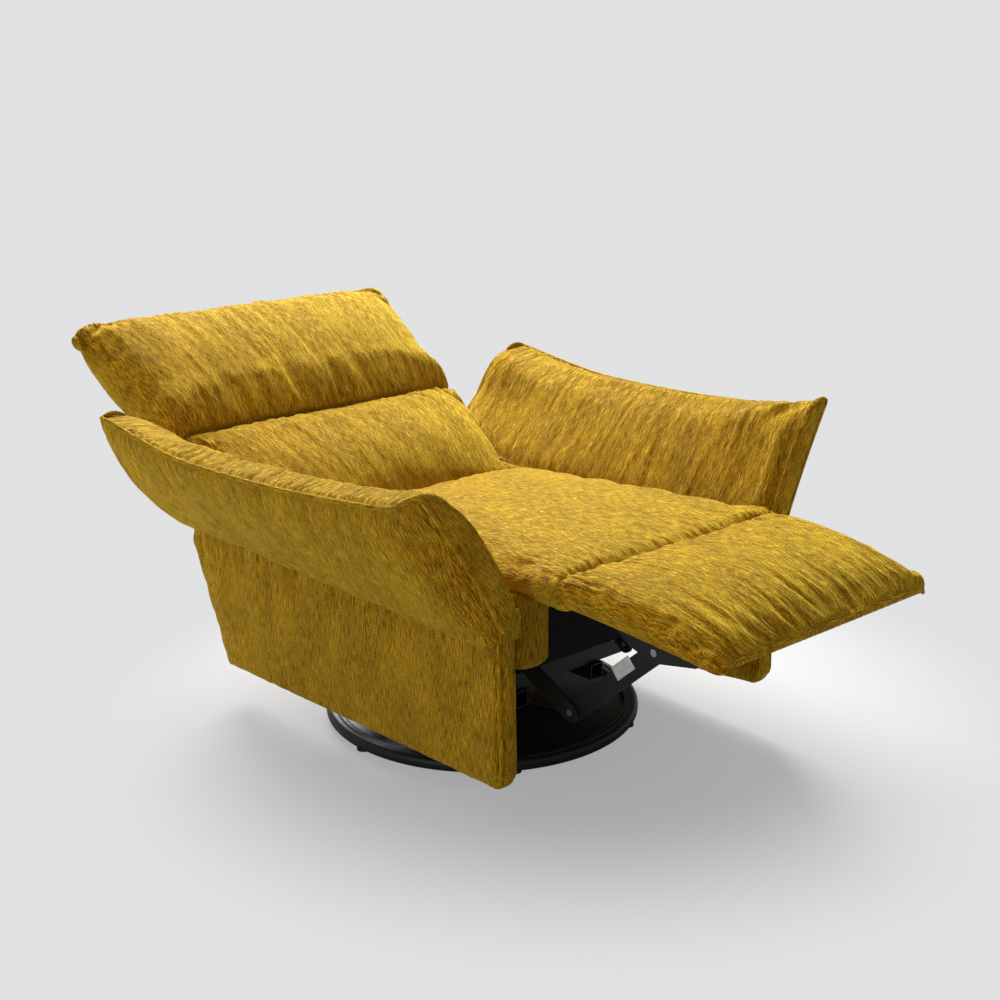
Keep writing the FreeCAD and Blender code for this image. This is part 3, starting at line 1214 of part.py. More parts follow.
def drive_rod(name, x, z, tip, length, toward_front, lever_side):
    """The sliding rod, with a flat eye and the pin that works in the lever's slot."""
    start = tip if toward_front else f"{tip} - ({length})"
    shaft = rod(name + "_shaft", (x, start, z), "drive_rod_radius", length, Y_AXIS)
    flat_y = f"{tip} - drive_eye_radius" if toward_front else f"{tip} - 3 * drive_eye_radius"
    trims = [box(name + "_trim", (f"{x} + {low}", flat_y, f"{z} - 2 * drive_eye_radius"),
                 ("drive_rod_radius", "4 * drive_eye_radius", "4 * drive_eye_radius"))
             for low in ("drive_eye_thickness / 2", "(-drive_eye_thickness / 2 - drive_rod_radius)")]
    eye = rod(name + "_eye", (f"{x} - drive_eye_thickness / 2", tip, z), "drive_eye_radius",
              "drive_eye_thickness", X_AXIS)
    reach = "drive_eye_thickness + lever_thickness + 3 * drive_wall"
    pin_x = f"{x} - drive_eye_thickness / 2 - lever_thickness - 2 * drive_wall" if lever_side < 0 \
        else f"{x} - drive_eye_thickness / 2 - drive_wall"
    pin_item = rod(name + "_pin", (pin_x, tip, z), "drive_pin_radius", reach, X_AXIS)
    return fuse(name, [cut(name + "_flat", shaft, trims), eye, pin_item])


def clevis(name, x, eye_y, z, foot_y):
    """Two cheeks on a cross tube that hold a drive's tail, with their pin."""
    cheeks = []
    for low in ("drive_eye_thickness / 2 + drive_wall / 2",
                "-drive_eye_thickness / 2 - drive_wall / 2 - bracket_thickness"):
        corners = [(f"{foot_y} - bracket_width / 2", TUBE_TOP), (f"{foot_y} + bracket_width / 2", TUBE_TOP),
                   (f"{eye_y} + drive_eye_radius", z), (f"{eye_y} - drive_eye_radius", z)]
        plate = padded_plate(name + "_cheek", corners, "bracket_thickness", f"{x} + ({low})")
        cheeks += [plate, rod(name + "_top", (f"{x} + ({low})", eye_y, z), "drive_eye_radius",
                              "bracket_thickness", X_AXIS)]
    run = "drive_eye_thickness + 2 * bracket_thickness + 3 * drive_wall"
    cross = rod(name + "_pin", (f"{x} - ({run}) / 2", eye_y, z), "drive_pin_radius", run, X_AXIS)
    return fuse(name, cheeks + [cross])


def make_drives():
    """The footrest drive, the back drive, their clevises and rods, and the supply box."""
    z = f"{CRANK[1]} - footrest_lever"
    x = "drive_offset"
    front = "-footrest_drive_front"
    eye = f"{front} + drive_tube_length + drive_eye_radius"
    node(drive("footrest_drive", x, z, front, eye, True), "footrest_drive")
    tip = f"{CRANK[0]} - footrest_stroke / 2"
    node(drive_rod("footrest_rod", x, z, tip, "footrest_stroke + 2 * drive_tube_length / 3", True, -1),
         "footrest_drive_rod")
    clevises = [clevis("footrest_clevis", x, eye, z, "middle_tube_place")]

    z = "hip_height - back_lever"
    x = "-drive_offset"
    front = "-back_drive_front"
    eye = f"{front} - drive_eye_radius"
    node(drive("back_drive", x, z, front, eye, False), "back_drive")
    tip = "hip_rear - back_stroke / 2"
    node(drive_rod("back_rod", x, z, tip, "back_stroke + 2 * drive_tube_length / 3", False, 1),
         "back_drive_rod")
    clevises.append(clevis("back_clevis", x, eye, z, "-front_tube_place"))
    node(group_of("drive_clevises", clevises), "drive_clevises")

    supply_low = "middle_tube_place + rail_side / 2 + over / 2"
    supply = box("supply_box", ("-supply_length / 2", supply_low, TUBE_LOW),
                 ("supply_length", "supply_width", "supply_height"))
    gland = rod("supply_gland", ("supply_length / 2", "middle_tube_place + rail_side / 2 + supply_width / 2",
                                 f"{TUBE_LOW} + supply_height / 2"), "gland_radius", "gland_length", X_AXIS)
    node(fuse("supply", [supply, gland]), "power_supply")


def check_and_write():
    """Stops on any failed feature or bad shape, then writes one STEP file for each piece."""
    doc.recompute()
    failed = [item.Name for item in doc.Objects if {"Invalid", "Error"} & set(item.State)]
    if failed:
        raise SystemExit("failed features: " + ", ".join(failed))
    for item in nodes:
        if item.Shape.isNull() or not item.Shape.isValid():
            raise SystemExit("bad shape: " + item.Label)
    os.makedirs("parts", exist_ok=True)
    for item in nodes:
        item.Shape.exportStep(f"parts/{item.Label}.step")
        print(f"{item.Label}: {len(item.Shape.Solids)} solids, {item.Shape.Volume / 1000:.1f} cm3")


make_base()
make_seat_frame()
make_seat()
make_footrest()
make_back()
make_head()
make_arms()
make_controls()
make_drives()
check_and_write()
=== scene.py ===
import json
import math

import bmesh
import bpy
import numpy as np
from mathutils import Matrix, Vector


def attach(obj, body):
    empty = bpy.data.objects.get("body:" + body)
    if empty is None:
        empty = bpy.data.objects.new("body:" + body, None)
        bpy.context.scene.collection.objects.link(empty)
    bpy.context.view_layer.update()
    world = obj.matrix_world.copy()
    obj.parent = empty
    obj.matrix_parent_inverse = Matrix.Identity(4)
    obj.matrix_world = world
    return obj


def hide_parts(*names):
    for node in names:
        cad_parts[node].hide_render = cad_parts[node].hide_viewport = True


# Power recliner in slubbed chenille, reclined, on a black swivel base. Lengths are in metres.

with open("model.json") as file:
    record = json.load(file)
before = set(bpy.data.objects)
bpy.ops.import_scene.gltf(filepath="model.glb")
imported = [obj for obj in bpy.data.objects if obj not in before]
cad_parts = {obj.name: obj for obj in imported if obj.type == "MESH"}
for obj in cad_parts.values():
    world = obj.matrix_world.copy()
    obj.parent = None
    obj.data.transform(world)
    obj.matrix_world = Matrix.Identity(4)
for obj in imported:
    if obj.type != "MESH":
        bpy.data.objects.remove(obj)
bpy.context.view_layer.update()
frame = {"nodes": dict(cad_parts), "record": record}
nodes = frame["nodes"]

# Places: x runs to the sitter's left, y to the rear and z up
KNEE_Y, KNEE_Z, KNEE_RADIUS = -0.467, 0.416, 0.032
HIP_Y, HIP_Z = 0.235, 0.352
RECLINE = math.radians(27)
BACK_LENGTH, HEAD_LENGTH = 0.300, 0.352
DECK_FRONT, DECK_FALL = 0.403, math.tan(math.radians(6.45))
SEAT_REAR_Y, SEAT_REAR_Z, SEAT_FRONT_Y = 0.195, 0.391, -0.499
FOOTREST_FRONT_Y, FOOTREST_FRONT_Z, FOOTREST_END_Y = -0.791, 0.408, -0.795
ARM_REACH_REAR, ARM_REACH_FRONT, ARM_LOW_Z = 0.453, 0.437, 0.332
PANEL_FRONT_Y, PANEL_LOW_Z, PANEL_TOP_Z = -0.432, 0.084, 0.366
CUSHION_SINK = 0.0157
SIDES = (("left", 1), ("right", -1))

CAMERA_PLACE = (-1.825, -2.080, 1.239)
CAMERA_TURN, CAMERA_PITCH = math.radians(-41.97), math.radians(16.57)
LENS_MM, SENSOR_MM = 55.8, 36
FILL_FRAMES = 20
CORD_GAP = 0.004


# Camera: at the height of a standing viewer's chest, off the sitter's right foot

def aim_camera():
    """The camera at its place, looking along an azimuth and a downward pitch."""
    lens = bpy.data.cameras.new("view")
    lens.lens, lens.sensor_width = LENS_MM, SENSOR_MM
    camera = bpy.data.objects.new("view", lens)
    bpy.context.scene.collection.objects.link(camera)
    level = math.cos(CAMERA_PITCH)
    back = Vector((math.sin(CAMERA_TURN) * level, -math.cos(CAMERA_TURN) * level, math.sin(CAMERA_PITCH)))
    camera.location = CAMERA_PLACE
    camera.rotation_euler = (-back).to_track_quat("-Z", "Y").to_euler()
    bpy.context.scene.camera = camera


aim_camera()


# Numbers and noise

def steps(count, crowd=0.0):
    """Numbers from 0 to 1 that stand closer together near both ends: t - crowd * sin(2 pi t) / (2 pi)."""
    t = np.linspace(0, 1, count)
    return t - crowd * np.sin(2 * np.pi * t) / (2 * np.pi)


def skin_steps(rows, row_crowd, columns, column_crowd):
    """The two parameters of a skin: a from 0 to 1 down its rows, and b from -1 to 1 across its columns."""
    return steps(rows, row_crowd)[:, None], (2 * steps(columns, column_crowd) - 1)[None]


def ease(low, high, value):
    """A smooth step from 0 at low to 1 at high: 3 t squared - 2 t cubed."""
    t = np.clip((value - low) / (high - low), 0, 1)
    return t * t * (3 - 2 * t)


def through(places, values, wanted):
    """A smooth line through points: a Hermite cubic per span, with slopes of central differences."""
    places, values = np.asarray(places, float), np.asarray(values, float)
    slopes = np.gradient(values, places, axis=0)
    wanted = np.clip(wanted, places[0], places[-1])
    at = np.clip(np.searchsorted(places, wanted, side="right") - 1, 0, len(places) - 2)
    more = np.shape(wanted) + (1,) * (values.ndim - 1)
    run = (places[at + 1] - places[at]).reshape(more)
    t = (wanted - places[at]).reshape(more) / run
    shape = (2 * t**3 - 3 * t**2 + 1, t**3 - 2 * t**2 + t, 3 * t**2 - 2 * t**3, t**3 - t**2)
    return (shape[0] * values[at] + shape[1] * run * slopes[at]
            + shape[2] * values[at + 1] + shape[3] * run * slopes[at + 1])


def grain(across, along, seed):
    """Value noise from -1 to 1: seeded numbers on a lattice, blended with smooth steps both ways."""
    table = np.random.default_rng(seed).uniform(-1, 1, (61, 59))
    i, j = np.floor(across).astype(int), np.floor(along).astype(int)
    s, t = ease(0, 1, across - i), ease(0, 1, along - j)
    near = table[i % 61, j % 59] * (1 - s) + table[(i + 1) % 61, j % 59] * s
    far = table[i % 61, (j + 1) % 59] * (1 - s) + table[(i + 1) % 61, (j + 1) % 59] * s
    return near * (1 - t) + far * t


def roll_off(distance, radius):
    """How far a quarter-round edge has fallen at a distance in from the side: r - sqrt(r^2 - (r - d)^2)."""
    inside = np.clip(radius - distance, 0, radius)
    return radius - np.sqrt(np.maximum(radius**2 - inside**2, 0))


def bell(distance, width):
    """A bell curve, 1 at distance 0: exp(-(distance / width) squared)."""
    return np.exp(-(distance / width) ** 2)


def unit(vectors):
    """Vectors with length 1."""
    return vectors / np.maximum(np.linalg.norm(vectors, axis=-1, keepdims=True), 1e-9)


def stack(x, y, z):
    """Three arrays as one array of points."""
    return np.stack(np.broadcast_arrays(x, y, z), axis=-1).astype(float)


def lengths_along(points, axis):
    """Distance run along one axis of a grid of points, from its first row."""
    runs = np.linalg.norm(np.diff(points, axis=axis), axis=-1)
    start = np.zeros_like(np.take(runs, [0], axis=axis))
    return np.concatenate([start, np.cumsum(runs, axis=axis)], axis=axis)


def cloth_of(points, across):
    """A skin's cloth coordinates: a distance across, and the length run along its middle line."""
    middle = points.shape[1] // 2
    return np.stack(np.broadcast_arrays(across, lengths_along(points, 0)[:, middle:middle + 1]), -1)


# Mesh making

class Shell:
    """Grids of points with their cloth coordinates, sewn into one closed mesh."""

    def __init__(self):
        self.points, self.spots, self.faces, self.corners, self.count = [], [], [], [], 0

    def grid(self, points, cloth, side, hold=0.0):
        """Adds a grid as quads; side says which skin it is, and hold how firmly its points are kept."""
        rows, columns = points.shape[:2]
        index = self.count + np.arange(rows * columns).reshape(rows, columns)
        quads = np.stack([index[:-1, :-1], index[:-1, 1:], index[1:, 1:], index[1:, :-1]], -1)
        quads = quads.reshape(-1, 4)
        self.points.append(points.reshape(-1, 3))
        extra = np.broadcast_to(np.stack(np.broadcast_arrays(side, hold), -1), (rows, columns, 2))
        self.spots.append(np.concatenate([cloth, extra], -1).reshape(-1, 4))
        self.faces.append(quads)
        self.corners.append(cloth.reshape(-1, 2)[quads - self.count].reshape(-1, 2))
        self.count += rows * columns

    def piece(self, name):
        """The finished piece: doubles merged, faces outwards, with a cloth map and the points' own data."""
        mesh = bpy.data.meshes.new(name)
        points, faces = np.concatenate(self.points), np.concatenate(self.faces)
        mesh.from_pydata(points.tolist(), [], faces.tolist())
        cloth = mesh.uv_layers.new(name="cloth")
        cloth.uv.foreach_set("vector", np.concatenate(self.corners).astype(np.float32).ravel())
        spots = np.concatenate(self.spots)
        place = mesh.attributes.new("place", "FLOAT_VECTOR", "POINT")
        place.data.foreach_set("vector", spots[:, :3].astype(np.float32).ravel())
        hold = mesh.attributes.new("hold", "FLOAT", "POINT")
        hold.data.foreach_set("value", spots[:, 3].astype(np.float32))
        sew(mesh)
        return put(name, mesh)


def sew(mesh, gap=2e-5):
    """Merges doubles, drops what collapses, and turns all faces outwards."""
    work = bmesh.new()
    work.from_mesh(mesh)
    bmesh.ops.remove_doubles(work, verts=work.verts, dist=gap)
    bmesh.ops.dissolve_degenerate(work, edges=work.edges, dist=gap / 4)
    bmesh.ops.recalc_face_normals(work, faces=work.faces)
    work.to_mesh(mesh)
    work.free()
    mesh.shade_smooth()


def put(name, mesh):
    """An object for a mesh, at the origin."""
    piece = bpy.data.objects.new(name, mesh)
    bpy.context.scene.collection.objects.link(piece)
    return piece


def rim_of(grid, inset=0):
    """The grid's outline as a closed loop, or the loop just inside it, matched point for point."""
    rows, columns = grid.shape[:2]
    i = np.concatenate([np.zeros(columns - 1), np.arange(rows - 1), np.full(columns - 1, rows - 1),
                        np.arange(rows - 1, 0, -1), [0]]).astype(int)
    j = np.concatenate([np.arange(columns - 1), np.full(rows - 1, columns - 1),
                        np.arange(columns - 1, 0, -1), np.zeros(rows - 1), [0]]).astype(int)
    return grid[np.clip(i, inset, rows - 1 - inset), np.clip(j, inset, columns - 1 - inset)]


def side_values(rows, columns, values):
    """A value for each outline point from those of the four sides, blended over a few points."""
    low, right, high, left = values
    ring = np.concatenate([np.full(columns - 1, low), np.full(rows - 1, right), np.full(columns - 1, high),
                           np.full(rows - 1, left)]).astype(float)
    soft = sum(np.roll(ring, shift) for shift in range(-2, 3)) / 5
    return np.append(soft, soft[0])


SEAMS = {}


def pad(name, top, bottom, cloth, bulge, rows=6, held=(0, 0, 0, 0), welt=None, squareness=1.0):
    """A stuffed piece: a top and a bottom skin on the same rectangle, joined round the outline by a band.

    A band point is a mix of the two outlines plus outward * bulge * sin(pi t) ** squareness, where outward
    is the outline less the point inside it, square to the band's rise. cloth holds the top's coordinates
    in metres, and the band continues them outwards, so that the weave runs over the edge. welt is a row of
    the band that is kept where it is and remembered in SEAMS, for a seam there.
    """
    shell = Shell()
    count = top.shape[:2]
    sides = side_values(*count, held)
    shell.grid(top, cloth, 1.0, rim_fill(count, sides))
    low_cloth = np.stack([cloth[..., 0], -cloth[..., 1] - 0.1], -1)
    shell.grid(bottom, low_cloth, 0.0, 1.0)
    upper, lower = rim_of(top), rim_of(bottom)
    rise = unit(lower - upper)
    out = unit(upper - rim_of(top, 1)) + unit(lower - rim_of(bottom, 1))
    out = unit(out - rise * np.sum(out * rise, -1, keepdims=True))
    amount = side_values(*count, bulge)[:, None]
    flat = unit(rim_of(cloth) - rim_of(cloth, 1))
    t = np.linspace(0, 1, rows + 1)[:, None, None]
    wave = np.sin(np.pi * t) ** squareness
    band = upper * (1 - t) + lower * t + out * amount * wave
    run = lengths_along(band, 0)[..., None]
    band_cloth = rim_of(cloth) + flat * run
    fade = 0.9 * (1 - t[..., 0]) + 0.1
    band_hold = np.where(t[..., 0] > 0.99, 1.0, np.maximum(sides * (1 - t[..., 0]), t[..., 0] ** 3))
    if welt is not None:
        band_hold[welt] = 1.0
        SEAMS[name] = band[welt, count[1] - 1:]
    shell.grid(band, band_cloth, np.broadcast_to(fade, band.shape[:2]), band_hold)
    return shell.piece(name)


def rim_fill(count, values):
    """A grid of zeros with the outline's values on its outline."""
    rows, columns = count
    grid = np.zeros(count)
    grid[0, :-1], rest = values[:columns - 1], values[columns - 1:]
    grid[:-1, -1], rest = rest[:rows - 1], rest[rows - 1:]
    grid[-1, 1:], rest = rest[:columns - 1][::-1], rest[columns - 1:]
    grid[1:, 0] = rest[:rows - 1][::-1]
    return grid


def flip(points, side):
    """Points mirrored to the sitter's right when side is -1."""
    return points * np.array([side, 1, 1])


def read_points(mesh, layer="position"):
    """A point attribute of a mesh as an array."""
    data = np.zeros(len(mesh.vertices) * 3, np.float32)
    mesh.attributes[layer].data.foreach_get("vector", data)
    return data.reshape(-1, 3).astype(float)


def write_points(mesh, points):
    """Moves a mesh's points."""
    mesh.attributes["position"].data.foreach_set("vector", points.astype(np.float32).ravel())
    mesh.update()


def fill_out(pieces, caps):
    """Blows the pads up as cloth under pressure, with the held points kept.

    The way that each point moves is kept, and its length becomes cap * tanh(length / cap), with a cap for
    each piece.
    """
    start = {}
    for piece in pieces:
        mesh = piece.data
        start[piece.name] = read_points(mesh)
        hold = np.zeros(len(mesh.vertices), np.float32)
        mesh.attributes["hold"].data.foreach_get("value", hold)
        group = piece.vertex_groups.new(name="held")
        for level in range(1, 11):
            chosen = np.flatnonzero(np.round(hold * 10) == level)
            if len(chosen):
                group.add(chosen.tolist(), level / 10, "REPLACE")
        cloth = piece.modifiers.new("cloth", "CLOTH")
        cloth.settings.quality = 4
        cloth.settings.mass = 0.3
        cloth.settings.tension_stiffness = cloth.settings.compression_stiffness = 14
        cloth.settings.bending_stiffness = 1.2
        cloth.settings.use_pressure = True
        cloth.settings.uniform_pressure_force = 4
        cloth.settings.shrink_min = -0.03
        cloth.settings.vertex_group_mass = "held"
        cloth.settings.effector_weights.gravity = 0
        cloth.collision_settings.use_collision = False
        cloth.point_cache.frame_start, cloth.point_cache.frame_end = 1, FILL_FRAMES
    scene = bpy.context.scene
    for number in range(1, FILL_FRAMES + 1):
        scene.frame_set(number)
    graph = bpy.context.evaluated_depsgraph_get()
    for piece in pieces:
        blown = piece.evaluated_get(graph)
        moved = read_points(blown.to_mesh())
        blown.to_mesh_clear()
        first = start[piece.name]
        way = moved - first
        size = np.linalg.norm(way, axis=1, keepdims=True)
        cap = caps[piece.name]
        write_points(piece.data, first + way / np.maximum(size, 1e-9) * cap * np.tanh(size / cap))
        piece.modifiers.clear()
        piece.vertex_groups.clear()
    scene.frame_set(1)


def refine(piece):
    """Subdivides a piece once and keeps the result as its mesh."""
    finer = piece.modifiers.new("finer", "SUBSURF")
    finer.levels = finer.render_levels = 1
    finer.boundary_smooth = "PRESERVE_CORNERS"
    graph = bpy.context.evaluated_depsgraph_get()
    mesh = bpy.data.meshes.new_from_object(piece.evaluated_get(graph), preserve_all_data_layers=True,
                                           depsgraph=graph)
    piece.modifiers.clear()
    old = piece.data
    piece.data = mesh
    mesh.name = piece.name
    bpy.data.meshes.remove(old)


def emboss(piece, height):
    """Moves every point along its normal by height(place, points).

    place holds the cloth's distance across, its distance along and which skin the point is on.
    """
    mesh = piece.data
    points, place = read_points(mesh), read_points(mesh, "place")
    normals = np.zeros(len(points) * 3, np.float32)
    mesh.vertex_normals.foreach_get("vector", normals)
    rise = height(place, points)
    write_points(mesh, points + normals.reshape(-1, 3) * rise[:, None])


def gathers(across, distance, reach, pitch, height, seed):
    """Pleats at right angles to a seam: sharpened noise across, fading with distance from the seam.

    Each pleat has a reach of its own; the ridge is 1 - 2 |noise| and the fade is exp(-(d / reach)^2).
    """
    wander = 0.35 * grain(across / (3 * pitch), distance / 0.04, seed + 1)
    ridge = 1 - 2 * np.abs(grain(across / pitch + wander, distance / 0.16 + 0.37, seed))
    own = reach * (0.75 + 0.45 * grain(across / pitch * 0.7, 0.5 + 0 * across, seed + 2))
    return height * ridge * bell(distance, own) * ease(-0.004, 0.004, distance)


def crumple(place, height, seed, pitch, length):
    """Soft long waves of a loose cover: noise that is stretched along the cloth, at two scales."""
    across, along = place[:, 0], place[:, 1]
    bend = 0.5 * grain(across / 0.09, along / 0.11, seed + 3)
    return height * (grain(across / pitch + bend, along / length, seed)
                     + 0.5 * grain(across / pitch * 2.3 + bend, along / length * 1.7, seed + 1))


def tube(name, line, radius, sides=8):
    """A round cord along a line of points, with closed ends: each ring is square to the line.

    A ring's first direction is one leaning direction less its part along the line.
    """
    line = np.asarray(line, float)
    ahead = np.roll(line, -1, 0) - np.roll(line, 1, 0)
    ahead[0], ahead[-1] = line[1] - line[0], line[-1] - line[-2]
    ahead = unit(ahead)
    lift = np.array([0.31, 0.12, 0.94])
    first = unit(lift - ahead * (ahead @ lift)[:, None])
    second = np.cross(ahead, first)
    turn = np.linspace(0, 2 * np.pi, sides + 1)
    radius = np.broadcast_to(radius, len(line))[:, None, None]
    ring = (line[:, None] + radius * (np.cos(turn)[None, :, None] * first[:, None]
                                      + np.sin(turn)[None, :, None] * second[:, None]))
    run = np.concatenate([[0], np.cumsum(np.linalg.norm(np.diff(line, axis=0), axis=1))])
    cloth = np.stack(np.broadcast_arrays(turn[None] * radius[..., 0], run[:, None]), -1)
    shell = Shell()
    shell.grid(ring, cloth, 1.0)
    for end in (0, -1):
        cap = np.stack([ring[end], np.broadcast_to(line[end], ring[end].shape)])
        shell.grid(cap, np.stack([cloth[end], cloth[end]]), 1.0)
    return shell.piece(name)


def even(line, rounds):
    """A line with points at an even gap and soft corners: each round takes a quarter of both neighbours."""
    line = np.asarray(line, float)
    run = np.concatenate([[0], np.cumsum(np.linalg.norm(np.diff(line, axis=0), axis=1))])
    wanted = np.linspace(0, run[-1], max(int(run[-1] / CORD_GAP), 3))
    line = np.stack([np.interp(wanted, run, line[:, k]) for k in range(3)], -1)
    for _ in range(rounds):
        line[1:-1] = 0.25 * line[:-2] + 0.5 * line[1:-1] + 0.25 * line[2:]
    return line


def lathe(name, profile, segments):
    """A closed profile of radius and height turned about the upright axis."""
    turn = np.linspace(0, 2 * np.pi, segments + 1)
    radius, height = np.asarray(profile, float).T
    points = stack(radius[:, None] * np.cos(turn), radius[:, None] * np.sin(turn), height[:, None])
    run = lengths_along(points, 0)
    cloth = np.stack(np.broadcast_arrays(turn[None] * radius.max(), run), -1)
    shell = Shell()
    shell.grid(points, cloth, 1.0)
    return shell.piece(name)


# Shader maths

class Wire:
    """One output of a material's node; arithmetic on it adds Math nodes."""

    def __init__(self, tree, socket):
        self.tree, self.socket = tree, socket

    def node(self, kind, settings=None, sockets=None, out=0):
        """Adds a node: its settings first, then values or wires for its sockets. Returns one output."""
        return add_node(self.tree, kind, settings, sockets, out)

    def maths(self, operation, other):
        """A Math node on this wire and another value or wire."""
        return self.node("ShaderNodeMath", {"operation": operation}, {0: self, 1: other})

    def __add__(self, other):
        return self.maths("ADD", other)

    def __mul__(self, other):
        return self.maths("MULTIPLY", other)

    __radd__, __rmul__ = __add__, __mul__

    def step(self, low, high):
        """A smooth step between two values."""
        return self.node("ShaderNodeMapRange", {"interpolation_type": "SMOOTHSTEP"},
                         {"Value": self, "From Min": low, "From Max": high})

    def noise(self, scale, detail=2.0, rough=0.5):
        """Noise at this wire's place, from 0 to 1."""
        return self.node("ShaderNodeTexNoise", {"noise_dimensions": "3D"},
                         {"Vector": self, "Scale": scale, "Detail": detail, "Roughness": rough})

    def scaled(self, x, y, z):
        """This vector multiplied by three numbers."""
        return self.node("ShaderNodeVectorMath", {"operation": "MULTIPLY"}, {0: self, 1: (x, y, z)})

    def moved(self, other):
        """This vector plus another."""
        return self.node("ShaderNodeVectorMath", {"operation": "ADD"}, {0: self, 1: other})

    def ramp(self, *stops):
        """Colours by value: stops are a place and a colour."""
        return self.node("ShaderNodeValToRGB", {"stops": stops}, {"Fac": self})

    def tint(self, first, second):
        """A colour mixed from first at 0 to second at 1."""
        return self.node("ShaderNodeMix", {"data_type": "RGBA"}, {0: self, 6: first, 7: second}, 2)


def add_node(tree, kind, settings=None, sockets=None, out=0):
    """Adds a node to a tree, as Wire.node does."""
    made = tree.nodes.new(kind)
    for key, value in (settings or {}).items():
        if key == "stops":
            stops = made.color_ramp.elements
            while len(stops) < len(value):
                stops.new(0.5)
            for stop, (place, colour) in zip(stops, value):
                stop.position, stop.color = place, (*colour, 1)
        else:
            setattr(made, key, value)
    for key, value in (sockets or {}).items():
        if isinstance(value, Wire):
            tree.links.new(value.socket, made.inputs[key])
        elif isinstance(value, tuple) and made.inputs[key].type == "RGBA":
            made.inputs[key].default_value = (*value, 1)
        else:
            made.inputs[key].default_value = value
    return Wire(tree, made.outputs[out])


def mixed_material(name, look):
    """A material whose look returns its whole shader."""
    made = bpy.data.materials.new(name)
    made.use_nodes = True
    made.node_tree.nodes.clear()
    shader = look(made.node_tree)
    end = made.node_tree.nodes.new("ShaderNodeOutputMaterial")
    made.node_tree.links.new(shader.socket, end.inputs["Surface"])
    return made


def plain_shader(tree, look, fixed):
    """One shader: look gets a tree and returns what varies, and fixed holds the shader's plain numbers."""
    varied = look(tree)
    height = varied.pop("height", None)
    if height is not None:
        wire, distance, strength = height
        varied["Normal"] = wire.node("ShaderNodeBump", {}, {"Height": wire, "Distance": distance,
                                                            "Strength": strength})
    return add_node(tree, "ShaderNodeBsdfPrincipled", {}, {**fixed, **varied})


def material(name, look, **fixed):
    """A material of one shader."""
    return mixed_material(name, lambda tree: plain_shader(tree, look, fixed))


def cloth_place(tree):
    """The cloth map as a wire, in metres."""
    return add_node(tree, "ShaderNodeUVMap", {"uv_map": "cloth"}, {}, 0)


def object_place(tree):
    """The object's own place as a wire, in metres."""
    return add_node(tree, "ShaderNodeTexCoord", {}, {}, "Object")


def chenille(tree):
    """Slubbed chenille: fine wavy ribs of bright pile along the cloth, with painted shade on the ground
    between them and small painted highlights on the pile.

    The pile and the ground are two shaders, mixed by how far the ribs are raised, so that only the pile
    shines. The ground's darker colour is painted shade in the grooves between the ribs. raised, tone and
    the mask of painted highlights are smooth steps of sums of stretched noise.
    """
    place = cloth_place(tree)
    drift = place.node("ShaderNodeTexNoise", {"noise_dimensions": "3D"},
                       {"Vector": place, "Scale": 24.0, "Detail": 2.0}, "Color")
    bent = place.moved(drift.scaled(0.008, 0.008, 0))
    rib = bent.scaled(600, 48, 1).noise(1.0, 2.0, 0.6)
    slub = bent.scaled(300, 60, 1).noise(1.0, 2.0, 0.55)
    nap = bent.scaled(640, 300, 1).noise(1.0, 1.0, 0.5)
    patch = place.scaled(13, 7, 1).noise(1.0, 2.0, 0.5)
    raised = (rib * 0.66 + slub * 0.10 + nap * 0.24).step(0.40, 0.57)
    # painted highlights: pale specks on the pile, standing in for where it catches the light
    painted_glint = (nap * 0.5 + rib * 0.5).step(0.58, 0.68)
    tone = patch.step(0.30, 0.72)
    pile = tone.tint((0.440, 0.194, 0.0012), (0.545, 0.262, 0.0030))
    # the pile's colour takes the painted highlights
    pile = (painted_glint * 0.6).tint(pile, (0.95, 0.70, 0.15))
    # painted shade: the ground between the ribs is coloured darker, as the shade in the grooves
    shaded_ground = tone.tint((0.140, 0.054, 0.0006), (0.190, 0.079, 0.0010))
    height = place.node("ShaderNodeBump", {}, {"Height": raised * 0.8 + nap * 0.2 + slub * 0.5,
                                               "Distance": 0.0019, "Strength": 0.9})
    shine = {"Roughness": 0.85, "Specular IOR Level": 0.05, "Sheen Roughness": 0.50,
             "Sheen Tint": (1.0, 0.80, 0.08), "Normal": height}
    bright, dark = (place.node("ShaderNodeBsdfPrincipled", {},
                               {"Base Color": colour, "Sheen Weight": weight, **shine})
                    for colour, weight in ((pile, 0.9), (shaded_ground, 0.35)))
    return place.node("ShaderNodeMixShader", {}, {0: raised * 0.85 + tone * 0.15, 1: dark, 2: bright})


def plain_cloth(tree):
    """Thin black lining: fine crossed threads with a little dust."""
    place = object_place(tree)
    threads = place.scaled(900, 900, 900).noise(1.0, 2.0, 0.7)
    dust = place.noise(14.0, 3.0, 0.6)
    return {"Base Color": (threads * 0.5 + dust * 0.5).ramp((0.3, (0.004, 0.004, 0.005)),
                                                         (0.75, (0.014, 0.014, 0.015))),
            "Roughness": 0.8 + dust * 0.15, "height": (threads, 0.0004, 0.5)}


def black_coat(tree):
    """Satin black powder coat: a fine orange-peel and slightly rubbed tone."""
    place = object_place(tree)
    peel = place.noise(950.0, 2.0, 0.5)
    rubbed = place.noise(9.0, 4.0, 0.6)
    return {"Base Color": rubbed.ramp((0.35, (0.007, 0.007, 0.008)), (0.7, (0.016, 0.016, 0.017))),
            "Roughness": 0.40 + rubbed * 0.2, "height": (peel, 0.0002, 0.35)}


def zinc(tree):
    """Zinc-plated steel with turning marks and dull spots."""
    place = object_place(tree)
    marks = place.scaled(30, 900, 900).noise(1.0, 2.0, 0.6)
    dull = place.noise(60.0, 3.0, 0.6)
    return {"Base Color": dull.ramp((0.3, (0.26, 0.26, 0.27)), (0.7, (0.46, 0.46, 0.47))),
            "Roughness": 0.25 + dull * 0.3, "height": (marks, 0.0001, 0.4)}


